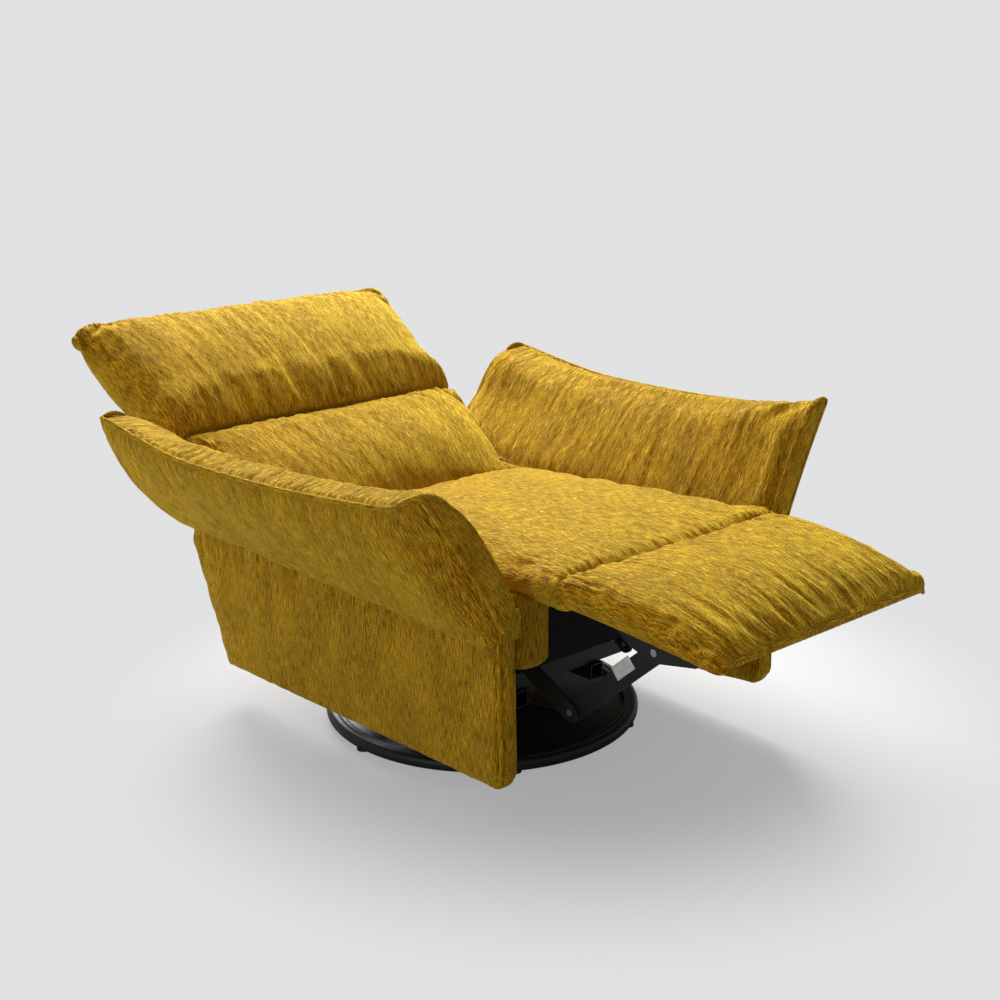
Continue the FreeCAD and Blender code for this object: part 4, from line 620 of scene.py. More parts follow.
def rubber(tree):
    """Matt black rubber with a fine grain."""
    place = object_place(tree)
    fine = place.noise(1200.0, 2.0, 0.6)
    return {"Base Color": fine.ramp((0.3, (0.014, 0.014, 0.014)), (0.7, (0.035, 0.035, 0.035))),
            "Roughness": 0.8 + fine * 0.15, "height": (fine, 0.0002, 0.4)}


def moulded(dark, light):
    """Moulded plastic with a fine spark-eroded grain, between two tones."""
    def look(tree):
        """The tone by a fine and a broad noise."""
        place = object_place(tree)
        fine = place.noise(1500.0, 2.0, 0.6)
        broad = place.noise(20.0, 2.0, 0.5)
        return {"Base Color": (fine * 0.4 + broad * 0.6).ramp((0.3, dark), (0.7, light)),
                "Roughness": 0.5 + fine * 0.25, "height": (fine, 0.00015, 0.4)}
    return look


def bare_wood(tree):
    """Plain board: long soft rings and fine pores."""
    place = object_place(tree)
    rings = place.scaled(60, 4, 60).noise(1.0, 4.0, 0.6)
    pores = place.scaled(700, 60, 700).noise(1.0, 2.0, 0.6)
    return {"Base Color": (rings * 0.8 + pores * 0.2).ramp((0.3, (0.38, 0.24, 0.12)),
                                                           (0.7, (0.62, 0.44, 0.26))),
            "Roughness": 0.7 + pores * 0.2, "height": (pores, 0.0003, 0.4)}


def webbing(tree):
    """Woven elastic webbing: ribs across the strap and threads along it."""
    place = cloth_place(tree)
    ribs = place.node("ShaderNodeTexWave", {"wave_type": "BANDS", "bands_direction": "Y"},
                      {"Vector": place, "Scale": 130.0, "Distortion": 0.6, "Detail": 1.0}, "Fac")
    threads = place.scaled(700, 90, 1).noise(1.0, 2.0, 0.5)
    return {"Base Color": (ribs * 0.6 + threads * 0.4).ramp((0.2, (0.012, 0.012, 0.013)),
                                                            (0.8, (0.055, 0.055, 0.058))),
            "Roughness": 0.8 + threads * 0.1, "height": (ribs, 0.0006, 0.7)}


def white_paper(tree):
    """A bare white sticker, slightly uneven."""
    place = object_place(tree)
    tone = place.noise(90.0, 2.0, 0.5)
    return {"Base Color": tone.ramp((0.3, (0.50, 0.50, 0.50)), (0.7, (0.60, 0.60, 0.60))),
            "Roughness": 0.45 + tone * 0.2, "height": (tone, 0.0001, 0.3)}


FINISH = {
    "ochre_chenille": mixed_material("ochre_chenille", chenille),
    "black_lining": material("black_lining", plain_cloth, **{"Specular IOR Level": 0.15}),
    "black_steel": material("black_steel", black_coat, **{"Specular IOR Level": 0.3}),
    "bright_steel": material("bright_steel", zinc, **{"Metallic": 1.0}),
    "glide_rubber": material("glide_rubber", rubber),
    "black_plastic": material("black_plastic", moulded((0.014, 0.014, 0.015), (0.032, 0.032, 0.034))),
    "grey_plastic": material("grey_plastic", moulded((0.24, 0.24, 0.25), (0.34, 0.34, 0.35))),
    "timber": material("timber", bare_wood),
    "webbing": material("webbing", webbing),
    "white_paper": material("white_paper", white_paper),
}


def dress(piece, finish, body):
    """Gives a piece its finish and its body."""
    piece.data.materials.clear()
    piece.data.materials.append(FINISH[finish])
    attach(piece, body)
    return piece


def dress_nodes():
    """Every CAD node that stays gets the material of its slot."""
    slots = {part["node"]: part["material_slot"] for part in frame["record"]["subparts"]}
    for name, piece in nodes.items():
        piece.data.materials.clear()
        piece.data.materials.append(FINISH[slots[name]])


dress_nodes()


# Seat and footrest

def deck_height(y):
    """Height of the sloping seat deck."""
    return DECK_FRONT - (y + 0.400) * DECK_FALL


def drawn_half(y, rear, front, rear_half, front_half, draw):
    """Half width at y: straight from rear to front, less draw * (1 - t squared) in the middle."""
    t = (y - (rear + front) / 2) / ((rear - front) / 2)
    return front_half + (rear_half - front_half) * (t + 1) / 2 - draw * np.clip(1 - t**2, 0, 1)


def seat_pad():
    """The seat: its top is a parabola from the rear to the knee, then an arc round the knee.

    The crown across is 1 - |b|^3.6. The arc is tighter towards both sides, where end grows to 1.
    """
    a, b = skin_steps(58, 0.15, 124, 0.4)
    rear, top = (SEAT_REAR_Y, SEAT_REAR_Z), (KNEE_Y, KNEE_Z + KNEE_RADIUS)
    knee_share = 0.856
    t = np.clip(a / knee_share, 0, 1)
    crown = 0.019 * (1 - np.abs(b) ** 3.6) + 0.003
    y = rear[0] + (top[0] - rear[0]) * t
    z = rear[1] + (top[1] - rear[1]) * t + 4 * t * (1 - t) * crown
    round_knee = np.clip((a - knee_share) / (1 - knee_share), 0, 1)
    turn = np.radians(90 - 200 * round_knee)
    end = ease(0.90, 1.0, np.abs(b))
    radius = KNEE_RADIUS * (1 - 0.38 * end)
    y = np.where(a > knee_share, KNEE_Y - radius * np.cos(turn), y)
    z = np.where(a > knee_share, KNEE_Z + KNEE_RADIUS - radius + radius * np.sin(turn), z)
    y, z = y + 0 * b, z + 0 * a
    half = drawn_half(y, SEAT_REAR_Y, SEAT_FRONT_Y, rear_half=0.276, front_half=0.269, draw=0.003)
    edge_fall = roll_off(half * (1 - np.abs(b)), 0.014)
    z = z - edge_fall * (1 - ease(0.0, 0.35, round_knee))
    high = stack(b * half, y, z)
    low_marks, deck_end = (0, 0.8, 0.87, 0.93, 1), -0.36
    low_y = through(low_marks, (0.204, deck_end, -0.4003, -0.4003, -0.454), a)
    low_z = through(low_marks, (0.3355, deck_height(deck_end) + 0.0003, 0.4035, 0.389, 0.387), a)
    low_z = low_z + 0.022 * end * ease(0.87, 0.95, a)
    low_half = drawn_half(low_y, 0.2, -0.46, rear_half=0.276, front_half=0.268, draw=0.003)
    low = stack(b * low_half, low_y + 0 * b, low_z)
    cloth = cloth_of(high, b * 0.27)
    return pad("seat_pad", high, low, cloth, bulge=(0.0, 0.007, 0.0, 0.007), rows=7,
               held=(0.9, 0.35, 1, 0.35))


def footrest_low(y):
    """Height of the footrest's underside: a straight line that falls towards the front."""
    return 0.409 - 0.023 * (-y - 0.467) / 0.333


def footrest_pad():
    """The footrest: a parabola from the knee's groove to the front seam, with a crown of 1 - |b|^3 across.

    It narrows towards the front, and its outline and edges are quarter rounds.
    """
    a, b = skin_steps(44, 0.4, 124, 0.4)
    groove = np.radians(72)
    radius = KNEE_RADIUS + 0.0009
    rear = (KNEE_Y - radius * np.cos(groove), KNEE_Z + radius * np.sin(groove))
    front_z = FOOTREST_FRONT_Z + 0.007 * (1 - b**2)
    y = rear[0] + (FOOTREST_FRONT_Y - rear[0]) * a + 0 * b
    crown = 0.012 * (1 - np.abs(b) ** 3) + 0.015
    z = rear[1] + (front_z - rear[1]) * a + 4 * a * (1 - a) * crown
    half = drawn_half(y, -0.477, FOOTREST_END_Y, rear_half=0.268, front_half=0.260, draw=0.003)
    half = half - roll_off(y + 0.793, 0.022)
    inward = half * (1 - np.abs(b))
    z = z - roll_off(inward, 0.016) - roll_off(y + 0.7925, 0.012) - roll_off(-0.4765 - y, 0.004)
    high = stack(b * half, y, z)
    low_rear = KNEE_Y - radius * math.cos(math.radians(-12.4))
    low_y = low_rear + (FOOTREST_FRONT_Y - low_rear) * a
    low_half = drawn_half(low_y, -0.499, FOOTREST_END_Y, rear_half=0.266, front_half=0.258, draw=0.003)
    low_half = low_half - roll_off(low_y + 0.793, 0.022)
    low = stack(b * low_half, low_y + 0 * b, footrest_low(low_y) + 0 * b)
    cloth = cloth_of(high, b * 0.265)
    return pad("footrest_pad", high, low, cloth, bulge=(-0.0088, 0.006, 0.0075, 0.006), rows=9,
               held=(1, 0.5, 0.8, 0.5), welt=3, squareness=0.55)


# Back and head, worked out in the back's own frame

def on_back(x, up, out):
    """Points from the back's frame, x across, up along it and out towards the sitter, to their place."""
    c, s = math.cos(RECLINE), math.sin(RECLINE)
    return stack(x, HIP_Y + up * c - out * s, HIP_Z + up * s + out * c)


def rear_skin(across, half, depth, recess, reach):
    """How deep the hidden rear skin lies: recess inside, depth in the rim along the sides."""
    rim = ease(half - 0.022, half - 0.012, np.abs(across))
    return recess + (depth - recess) * rim * reach


def lumbar_pad():
    """The lower back cushion: a roll about the hip, then a crowned face up to the crease.

    The crown falls by |b|^3.4 across, and both the face and the crown follow smooth lines up the back.
    """
    a, b = skin_steps(46, 0.25, 136, 0.4)
    roll_share, roll_radius = 0.19, 0.0325
    turn = np.radians(207 - 117 * np.clip(a / roll_share, 0, 1))
    up = np.clip((a - roll_share) / (1 - roll_share), 0, 1)
    s = up * 0.293
    marks = [0, 0.3, 0.66, 0.94, 1]
    face = through(marks, np.array([0.97, 1, 1, 0.84, 0.60]) * 0.033, up)
    crown = through(marks, np.array([0.03, 0.95, 1.0, 0.45, 0.05]) * 0.020, up)
    s = np.where(a < roll_share, roll_radius * np.cos(turn), s)
    out = np.where(a < roll_share, roll_radius * np.sin(turn), face + crown * (1.08 - np.abs(b) ** 3.4))
    half = 0.278 + 0.059 * up + 0 * b
    inward = half * (1 - np.abs(b))
    out = out + 0 * b - roll_off(inward, 0.020) * ease(0.05, 0.3, a)
    high = on_back(b * half, s + 0 * b, out)
    low_s = -0.0295 + a * (0.2985 + 0.0295)
    low_half = 0.277 + 0.060 * through(marks, [0, 0, 0.3, 0.9, 1], np.clip(low_s / 0.3, 0, 1))
    across = b * low_half
    low = on_back(across, low_s + 0 * b, rear_skin(across, low_half, -0.052, -CUSHION_SINK,
                                                   ease(0.0, 0.03, low_s)))
    cloth = cloth_of(high, b * 0.30)
    return pad("lumbar_pad", high, low, cloth, bulge=(0.0, 0.006, -0.002, 0.006), rows=7,
               held=(1, 0.5, 0.9, 0.5))


def head_half(share):
    """Half width of the head cushion, which flares towards its upper corners."""
    return 0.347 + 0.035 * share**1.5


def head_pad():
    """The head cushion: full above the crease and narrowing to a soft edge with an ear at each corner."""
    a, b = skin_steps(46, 0.35, 156, 0.4)
    marks = [0, 0.06, 0.36, 0.74, 0.93, 1]
    face_start, rear_start = 0.3065, 0.3005
    s = face_start + a * (BACK_LENGTH + HEAD_LENGTH - 0.005 - face_start)
    face = through(marks, np.array([0.60, 0.92, 1.12, 1.22, 1.26, 1.2]) * 0.034, a)
    crown = through(marks, np.array([0.08, 0.5, 1, 0.9, 0.45, 0.15]) * 0.022, a)
    half = head_half(a) + 0 * b
    inward = half * (1 - np.abs(b))
    out = face + crown * (1 - np.abs(b) ** 4) - roll_off(inward, 0.020)
    high = on_back(b * half, s + 0 * b, out)
    low_s = rear_start + a * (BACK_LENGTH + HEAD_LENGTH - 0.006 - rear_start)
    depth = -0.053 * through(marks, [1, 1, 1, 0.8, 0.3, -0.22], a)
    recess = np.where(low_s < 0.478, -CUSHION_SINK, depth)
    across = b * half
    low = on_back(across, low_s + 0 * b, rear_skin(across, half, depth, recess, 1.0))
    cloth = cloth_of(high, b * 0.36)
    return pad("head_pad", high, low, cloth, bulge=(-0.002, 0.008, 0.012, 0.008), rows=8,
               held=(0.9, 0.5, 0.5, 0.5))


def rear_cover(name, low_up, high_up, half):
    """A padded cover on the rear of the back, slightly full in its middle."""
    a, b = skin_steps(26, 0.3, 46, 0.4)
    up = low_up + 0.004 + (high_up - low_up - 0.008) * a
    inset = half - 0.003
    full = 0.006 * (1 - np.abs(b) ** 3) * (1 - np.abs(2 * a - 1) ** 3)
    rear = on_back(b * inset, up + 0 * b, -0.0525 - full)
    front = on_back(b * inset, up + 0 * b, -0.0441 + 0 * full)
    cloth = np.stack([b * half + 0 * a, up + 0 * b], -1)
    return pad(name, rear, front, cloth, bulge=(0.0025,) * 4, rows=4, held=(1, 1, 1, 1))


# Arms and sides

def arm_section(share):
    """Corner points of an arm's section by share of its length, as x and z.

    foot, inner, seam, crest, welt, outer and lip run up the inner face, over the rolled top and down
    outside. front and last grow to 1 over the front tenth and twentieth, where the section is drawn
    together, and open_part is 1 where the top is open. The outer line bows out from lip to tip.
    """
    marks = (-1, -0.6, 0, 0.6, 1)
    bulge = through(marks, (0.3, 0.9, 1, 0.35, 0.1), share)
    spread = through(marks, (0, 0, 0, 0.1, 1), share)
    front = ease(-0.80, -1.0, share)[..., None]
    last = ease(-0.93, -1.0, share)[..., None]
    tip = np.stack([0.503 + 0.021 * share, 0.592 - 0.015 * share - 0.022 * (1 - share**2)], -1)
    tip = tip * (1 - last) + np.array([0.482, 0.606]) * last
    seam = tip - [0.060, 0.013]
    foot = np.stack([0.2875 + 0.0225 * spread, 0.3765 + 0.0120 * spread], -1)
    foot = foot + np.array([0.0205, 0.0085]) * last
    lip = np.array([0.3533, 0.3325]) - np.array([0.0200, -0.0280]) * last
    open_part = (ease(-1.0, -0.84, share) * ease(1.05, 0.35, share))[..., None]
    crest = tip + [-0.004, 0.001] - np.array([0.036, 0.0]) * open_part
    welt = tip + np.array([0.008, -0.021]) * open_part

    def middle(start, end, rise):
        """The point half-way from start to end, moved by rise square to that line."""
        run = end - start
        square = unit(np.stack([-run[..., 1], run[..., 0]], -1))
        return (start + end) / 2 + square * rise[..., None]

    outer = middle(tip, lip, 0.012 * (bulge + 1) + 0.012 * ease(0.3, 1.0, share) - 0.021 * front[..., 0])
    inner = middle(foot, tip - [0.034, 0.012], 0.016 * bulge)
    inner, seam, crest = (place * (1 - front) + np.array(drawn) * front for place, drawn in (
        (inner, (0.340, 0.465)), (seam, (0.404, 0.560)), (crest, (0.440, 0.592))))
    return foot, inner, seam, crest, welt, outer, lip


def arm_place(share, x, z):
    """A point of an arm: its front end leans back as it rises, and its rear end swells at half height."""
    reach = np.where(share > 0, ARM_REACH_REAR, ARM_REACH_FRONT)
    rise = (z - ARM_LOW_Z) / 0.260
    swell = 0.024 * np.sin(np.pi * np.clip(rise, 0, 1)) ** 0.8 * ease(0.3, 1.0, share)
    return stack(x, share * reach + 0.022 * rise * (1 - share) / 2 + swell, z)


def arm_welt(share):
    """Where the two skins of an arm meet, by share of its length."""
    welt = arm_section(share)[4]
    return arm_place(share, welt[..., 0], welt[..., 1])


def arm_outside(share, t):
    """The arm's outer skin, from its lip at 0 to the welt at 1: a straight line and a parabola's bow."""
    _, _, _, _, welt, outer, lip = arm_section(share)
    bow = outer - (lip + welt) / 2
    return lip * (1 - t) + welt * t + 4 * t * (1 - t) * bow


def arm_inside(share, a):
    """The arm's inner skin, from its foot at 0 over the crest to the welt at 1."""
    foot, inner, seam, crest, welt, _, _ = arm_section(share)
    marks = np.array([0, 0.38, 0.72, 0.86, 1.0])
    return through(marks, np.stack([foot, inner, seam + [0.001, 0.004], crest, welt]), a)


def arm_pad(side_name, side):
    """A winged arm: the inner skin rises from the hinge and rolls over to the welt.

    The outer skin runs from the foot round the hidden notch, by corner and under, to the lip that hangs
    over the side panel, and from there up to the welt.
    """
    share = 2 * steps(176, 0.2) - 1
    a = steps(38, 0.2)[:, None]
    inner_line = arm_inside(share, a[:, 0])
    high = arm_place(share[None], inner_line[..., 0], inner_line[..., 1])
    foot, _, _, _, _, _, lip = arm_section(share)
    last = ease(-0.93, -1.0, share)[..., None]
    corner = np.array([0.3386, 0.3886]) - np.array([0.0166, 0.0]) * last
    under = np.array([0.3386, 0.333]) - np.array([0.0116, -0.027]) * last
    a = a[..., None]
    at_corner, at_under, at_lip = 0.12, 0.24, 0.27
    to_corner = np.clip(a / at_corner, 0, 1)
    to_under = np.clip((a - at_corner) / 0.12, 0, 1)
    to_lip = np.clip((a - at_under) / 0.03, 0, 1)
    path = np.where(a < at_corner, foot + (corner - foot) * to_corner,
                    np.where(a < at_under, corner + (under - corner) * to_under,
                             under + (lip - under) * to_lip))
    line = np.where(a < at_lip, path, arm_outside(share, np.clip((a - at_lip) / 0.73, 0, 1)))
    low = arm_place(share[None], line[..., 0], line[..., 1])
    cloth = cloth_of(high, share[None] * 0.45)
    return arm_shell(f"arm_pad_{side_name}", flip(high, side), flip(low, side), cloth)


def arm_shell(name, high, low, cloth):
    """The arm's two skins, which meet at the foot and the welt, and a strip that closes each end."""
    shell = Shell()
    shape = high.shape[:2]
    rows = np.linspace(0, 1, shape[0])[:, None]
    columns = np.linspace(-1, 1, shape[1])[None]
    ends = ease(0.94, 1.0, np.abs(columns))
    hold = np.maximum(ends, np.maximum(ease(0.10, 0.0, rows), ease(0.95, 1.0, rows)) + 0 * columns)
    shell.grid(high, cloth, 1.0, np.clip(hold, 0, 1))
    low_run = cloth_of(low, cloth[..., 0])[..., 1]
    low_cloth = np.stack([cloth[..., 0], cloth[-1:, :, 1] + low_run[-1:] - low_run], -1)
    low_hold = np.maximum(ends, np.maximum(ease(0.36, 0.26, rows), ease(0.95, 1.0, rows)) + 0 * columns)
    shell.grid(low, low_cloth, 0.0, np.clip(low_hold, 0, 1))
    for column, way in ((0, -1), (-1, 1)):
        upper, lower = high[:, column], low[:, column]
        t = np.linspace(0, 1, 9)[:, None, None]
        width = np.linalg.norm(lower - upper, axis=-1, keepdims=True)
        out = np.array([0, way, 0]) * (0.07 * width + 0.001)
        strip = upper * (1 - t) + lower * t + out * np.sin(np.pi * t) ** 0.8
        rise = unit(upper[-1] - upper[0])
        level = unit(np.cross(rise, [0, 1, 0]))
        strip_cloth = np.stack([strip @ level, strip @ rise], -1)
        firm = np.where((t[..., 0] < 0.01) | (t[..., 0] > 0.99), 1.0, 0.5)
        shell.grid(strip, strip_cloth, 0.5, firm + 0 * width[..., 0])
    return shell.piece(name)


def panel_front(z, inset):
    """Y of the panel's front edge: straight, with a round lower corner."""
    line = PANEL_FRONT_Y + 0.008 * (z - PANEL_LOW_Z) / 0.288
    return line + inset + roll_off(z - PANEL_LOW_Z - inset * 0.5, 0.036)


def panel_rear(z):
    """Y of the panel's rear edge: out to its corner and back in."""
    return np.interp(z, [0.05, 0.284, 0.296, 0.372], [0.3695, 0.4795, 0.482, 0.458])


def side_panel_pad(side_name, side):
    """The tall side: two skins on the same outline and a soft band round it."""
    a, b = steps(30, 0.3)[:, None], steps(170, 0.3)[None]
    low_z = 0.086 + (0.060 - 0.086) * b + 0.006
    z = low_z + (PANEL_TOP_Z - low_z) * a
    front, rear = panel_front(z, 0.004), panel_rear(z) - 0.005
    y = front + (rear - front) * b
    full = 0.004 * (1 - np.abs(2 * b - 1) ** 4) * (1 - np.abs(2 * a - 1) ** 4)
    outer = stack(side * (0.3335 + full), y, z)
    inner = stack(side * (0.2885 + 0.0165 * ease(0.12, 0.0, b) + 0 * full), y, z)
    cloth = np.stack([y, z], -1)
    return pad(f"side_panel_pad_{side_name}", outer, inner, cloth, bulge=(0.007, 0.007, 0.004, 0.006),
               rows=8, held=(0.8, 0.8, 1, 0.9), squareness=0.7)


def seat_block_pad(side_name, side):
    """An upholstered block beside the mechanism, soft along its front and lower edges."""
    a, b = steps(16, 0.3)[:, None], steps(48, 0.4)[None]
    y = -0.392 + 0.584 * b + 0 * a
    low_z = 0.270 - 0.0535 * (y + 0.400) + 0.008
    high_z = deck_height(y) - 0.002
    z = low_z + (high_z - low_z) * a
    outer, inner = stack(side * 0.2765, y, z), stack(side * 0.2015, y, z)
    cloth = np.stack([y, z], -1)
    return pad(f"seat_block_pad_{side_name}", outer, inner, cloth, bulge=(0.008, 0.006, 0.001, 0.008),
               rows=8, held=(0.7, 0.8, 1, 0.7), squareness=0.7)


seat = seat_pad()
footrest = footrest_pad()
lumbar = lumbar_pad()
head = head_pad()
back_cover = rear_cover("back_cover_pad", 0.054, 0.2997, 0.2577)
head_cover = rear_cover("head_cover_pad", 0.3003, 0.4797, 0.3177)
arms = {name: arm_pad(name, side) for name, side in SIDES}
panels = {name: side_panel_pad(name, side) for name, side in SIDES}
blocks = {name: seat_block_pad(name, side) for name, side in SIDES}

fill_out([seat, footrest, lumbar, head, *arms.values(), *panels.values(), *blocks.values()],
         {"seat_pad": 0.008, "footrest_pad": 0.007, "lumbar_pad": 0.009, "head_pad": 0.011,
          "arm_pad_left": 0.010, "arm_pad_right": 0.010, "side_panel_pad_left": 0.004,
          "side_panel_pad_right": 0.004, "seat_block_pad_left": 0.002, "seat_block_pad_right": 0.002})
for piece in (seat, footrest, lumbar, head, *arms.values(), *panels.values()):
    refine(piece)


# Gathers, pleats and loose waves, pressed into the filled pads

def seat_relief(place, points):
    """Gathers on the way to the knee seam and at the rear, over loose waves along the cloth."""
    across, along = place[:, 0], place[:, 1]
    skin = ease(0.45, 0.95, place[:, 2])
    seam = 0.705 - along
    groove = np.where(points[:, 2] > 0.42, bell(points[:, 1] + 0.4775, 0.008), 0)
    waves = crumple(place, height=0.0014, seed=11, pitch=0.019, length=0.10) * ease(-0.01, 0.05, seam)
    knee = gathers(across, seam, reach=0.120, pitch=0.0105, height=0.0038, seed=12)
    rear = gathers(across, along, reach=0.035, pitch=0.015, height=0.0018, seed=13)
    return skin * (waves + knee + rear - 0.0020 * groove)


def footrest_relief(place, points):
    """Gathers in front of the knee seam and behind the front seam."""
    across, along = place[:, 0], place[:, 1]
    skin = ease(0.35, 0.9, place[:, 2])
    waves = crumple(place, height=0.0014, seed=21, pitch=0.020, length=0.11)
    knee = gathers(across, along, reach=0.100, pitch=0.0105, height=0.0032, seed=22)
    front = gathers(across, 0.330 - along, reach=0.125, pitch=0.0092, height=0.0040, seed=23)
    return skin * (waves + knee + front - 0.0025 * bell(along, 0.008))


def lumbar_relief(place, points):
    """Pleats below the crease and loose waves down the cushion."""
    across, along = place[:, 0], place[:, 1]
    skin = ease(0.5, 0.95, place[:, 2])
    waves = crumple(place, height=0.0017, seed=31, pitch=0.018, length=0.085) * ease(0.02, 0.10, along)
    crease = gathers(across, 0.350 - along, reach=0.065, pitch=0.0105, height=0.0030, seed=32)
    return skin * (waves + crease)


def head_relief(place, points):
    """Pleats above the crease and short gathers at the upper seam and corners."""
    across, along = place[:, 0], place[:, 1]
    skin = ease(0.5, 0.95, place[:, 2])
    corner = np.hypot(0.36 - np.abs(across), 0.345 - along)
    waves = crumple(place, height=0.0017, seed=41, pitch=0.019, length=0.13)
    crease = gathers(across, along, reach=0.075, pitch=0.0105, height=0.0028, seed=42)
    top = gathers(across, 0.355 - along, reach=0.060, pitch=0.015, height=0.0020, seed=43)
    return skin * (waves + crease + top + 0.0022 * np.sin(corner / 0.0052) * bell(corner, 0.045))


def arm_relief(seed):
    """Short gathers on both sides of the welt, tucks at its ends, and waves on both faces."""
    def relief(place, points):
        """The arm's rise by place: off is the distance from the welt, and corner that from its ends."""
        across, along = place[:, 0], place[:, 1]
        inner = ease(0.6, 0.95, place[:, 2])
        outer = ease(0.4, 0.05, place[:, 2])
        both = np.maximum(inner, outer)
        welt = along[place[:, 2] > 0.9].max()
        off = np.abs(along - welt)
        corner = np.hypot(0.45 - np.abs(across), 1.6 * (along - welt + 0.02))
        waves = crumple(place, height=0.0016, seed=seed, pitch=0.019, length=0.095)
        inside = gathers(across, welt - along, reach=0.055, pitch=0.0095, height=0.0026, seed=seed + 1)
        outside = gathers(across, along - welt, reach=0.035, pitch=0.014, height=0.0012, seed=seed + 2)
        tucks = 0.0020 * np.sin(corner / 0.0048) * bell(corner, 0.035)
        beside_welt = 0.0038 * bell(off - 0.007, 0.0045)
        front_edge = bell(0.450 + across - 0.008, 0.0045)
        return (waves * both * ease(0, 0.03, off) + inner * inside + outer * outside + tucks * both
                - beside_welt * both - 0.0040 * outer * front_edge)
    return relief


def panel_relief(seed):
    """Deep pleats under the arm's fold that fade down the panel."""
    def relief(place, points):
        """The panel's rise by place: pleats below the fold, and a groove behind the front welt."""
        across, along = place[:, 0], place[:, 1]
        outer = ease(0.85, 0.98, place[:, 2])
        away = ease(-0.42, -0.20, across)
        pleats = gathers(across, 0.345 - along, reach=0.100, pitch=0.0100, height=0.0040, seed=seed + 1)
        waves = crumple(place, height=0.0010, seed=seed, pitch=0.022, length=0.12)
        groove = 0.0030 * bell(across - panel_front(along, 0.0115), 0.0040)
        return outer * (waves - groove + away * pleats)
    return relief


emboss(seat, seat_relief)
emboss(footrest, footrest_relief)
emboss(lumbar, lumbar_relief)
emboss(head, head_relief)
for number, (side_name, _) in enumerate(SIDES):
    emboss(arms[side_name], arm_relief(51 + 10 * number))
    emboss(panels[side_name], panel_relief(71 + 10 * number))

upholstery = [
    (seat, "seat_cushion", "seat_frame", 0.8), (footrest, "footrest_cushion", "footrest", 0.85),
    (lumbar, "lumbar_cushion", "backrest", 0.8), (head, "head_cushion", "headrest", 0.75),
    (back_cover, "back_cover", "backrest", 0.9), (head_cover, "head_cover", "headrest", 0.9)]
for side_name, _ in SIDES:
    upholstery += [(arms[side_name], f"arm_cushion_{side_name}", f"arm_{side_name}", 0.75),
                   (panels[side_name], f"side_panel_{side_name}", "seat_frame", 0.95),
                   (blocks[side_name], f"seat_block_{side_name}", "seat_frame", 0.95)]
for piece, node_name, body, fill in upholstery:
    dress(piece, "ochre_chenille", body)
    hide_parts(node_name)


# Welts, corner knots and other small sewn parts

def cord(name, line, body, radius=0.0038, rounds=5):
    """A covered cord along a seam."""
    dress(tube(name, even(line, rounds), radius), "ochre_chenille", body)


def tuft(name, start, end, bow, radius, body):
    """A small gathered roll of cloth between two points: its radius is r * sqrt(sin(pi t)), with folds."""
    t = np.linspace(0, 1, 40)[:, None]
    line = np.asarray(start) * (1 - t) + np.asarray(end) * t + np.asarray(bow) * np.sin(np.pi * t)
    thick = radius * np.sqrt(np.maximum(np.sin(np.pi * t[:, 0]), 0.004)) * (1 + 0.06 * np.cos(44 * t[:, 0]))
    dress(tube(name, line, thick, 20), "ochre_chenille", body)


def arm_sewing(side_name, side):
    """The welt over an arm and down its front strip's outer edge, a finer one inside, and end knots."""
    body = f"arm_{side_name}"
    front = np.array([-1.0])
    down = arm_outside(front, np.linspace(1, 0.02, 30)[:, None, None])[:, 0]
    inside = arm_inside(front, np.linspace(0.84, 0.05, 30))[:, 0]
    top = arm_welt(np.linspace(0.99, -0.995, 120))
    outer = np.concatenate([top, arm_place(-1.0, down[:, 0], down[:, 1])])
    inner = arm_place(-1.0, inside[:, 0], inside[:, 1])
    cord(f"arm_welt_{side_name}", flip(outer, side), body)
    cord(f"arm_front_seam_{side_name}", flip(inner, side), body, 0.0026)
    for end, thick in ((-0.985, 0.0090), (0.985, 0.0050)):
        _, _, seam, _, welt, _, _ = (np.asarray(p)[0] for p in arm_section(np.array([end])))
        first = arm_place(end, seam[0] + 0.010, seam[1] + 0.009)
        last = arm_place(end, welt[0] + 0.001, welt[1] + 0.001)
        tuft(f"arm_{'front' if end < 0 else 'rear'}_knot_{side_name}", flip(first, side), flip(last, side),
             (0, 0, 0.006), thick, body)


def panel_sewing(side_name, side):
    """Welts down both edges of a side panel's front strip and round its lower corner."""
    corner = 0.090 + 0.040 * (1 - np.sin(np.linspace(0.1, 1.5, 14)))
    z = np.concatenate([np.linspace(PANEL_TOP_Z, 0.13, 40), corner])
    sunk = 0.012 * ease(0.108, 0.092, z)
    for word, x, way, thick in (("outer", 0.3350, -1, 0.0034), ("inner", 0.3050, 1, 0.0022)):
        line = flip(stack(x + way * sunk, panel_front(z, 0.0035) + sunk, z), side)
        cord(f"panel_{word}_welt_{side_name}", line, "seat_frame", thick)


def head_knots(side_name, side):
    """The rolled corner of the head cushion: one roll along the top edge and one below it on the side."""
    top = on_back(np.array([0.318, 0.386]), np.array([0.643, 0.641]), np.array([0.034, 0.026]))
    low = on_back(np.array([0.390, 0.384]), np.array([0.650, 0.608]), np.array([0.014, 0.008]))
    tuft(f"head_knot_{side_name}", *flip(top, side), (0, 0.003, 0.002), 0.0120, "headrest")
    tuft(f"head_side_knot_{side_name}", *flip(low, side), (0.003 * side, 0, 0), 0.0105, "headrest")


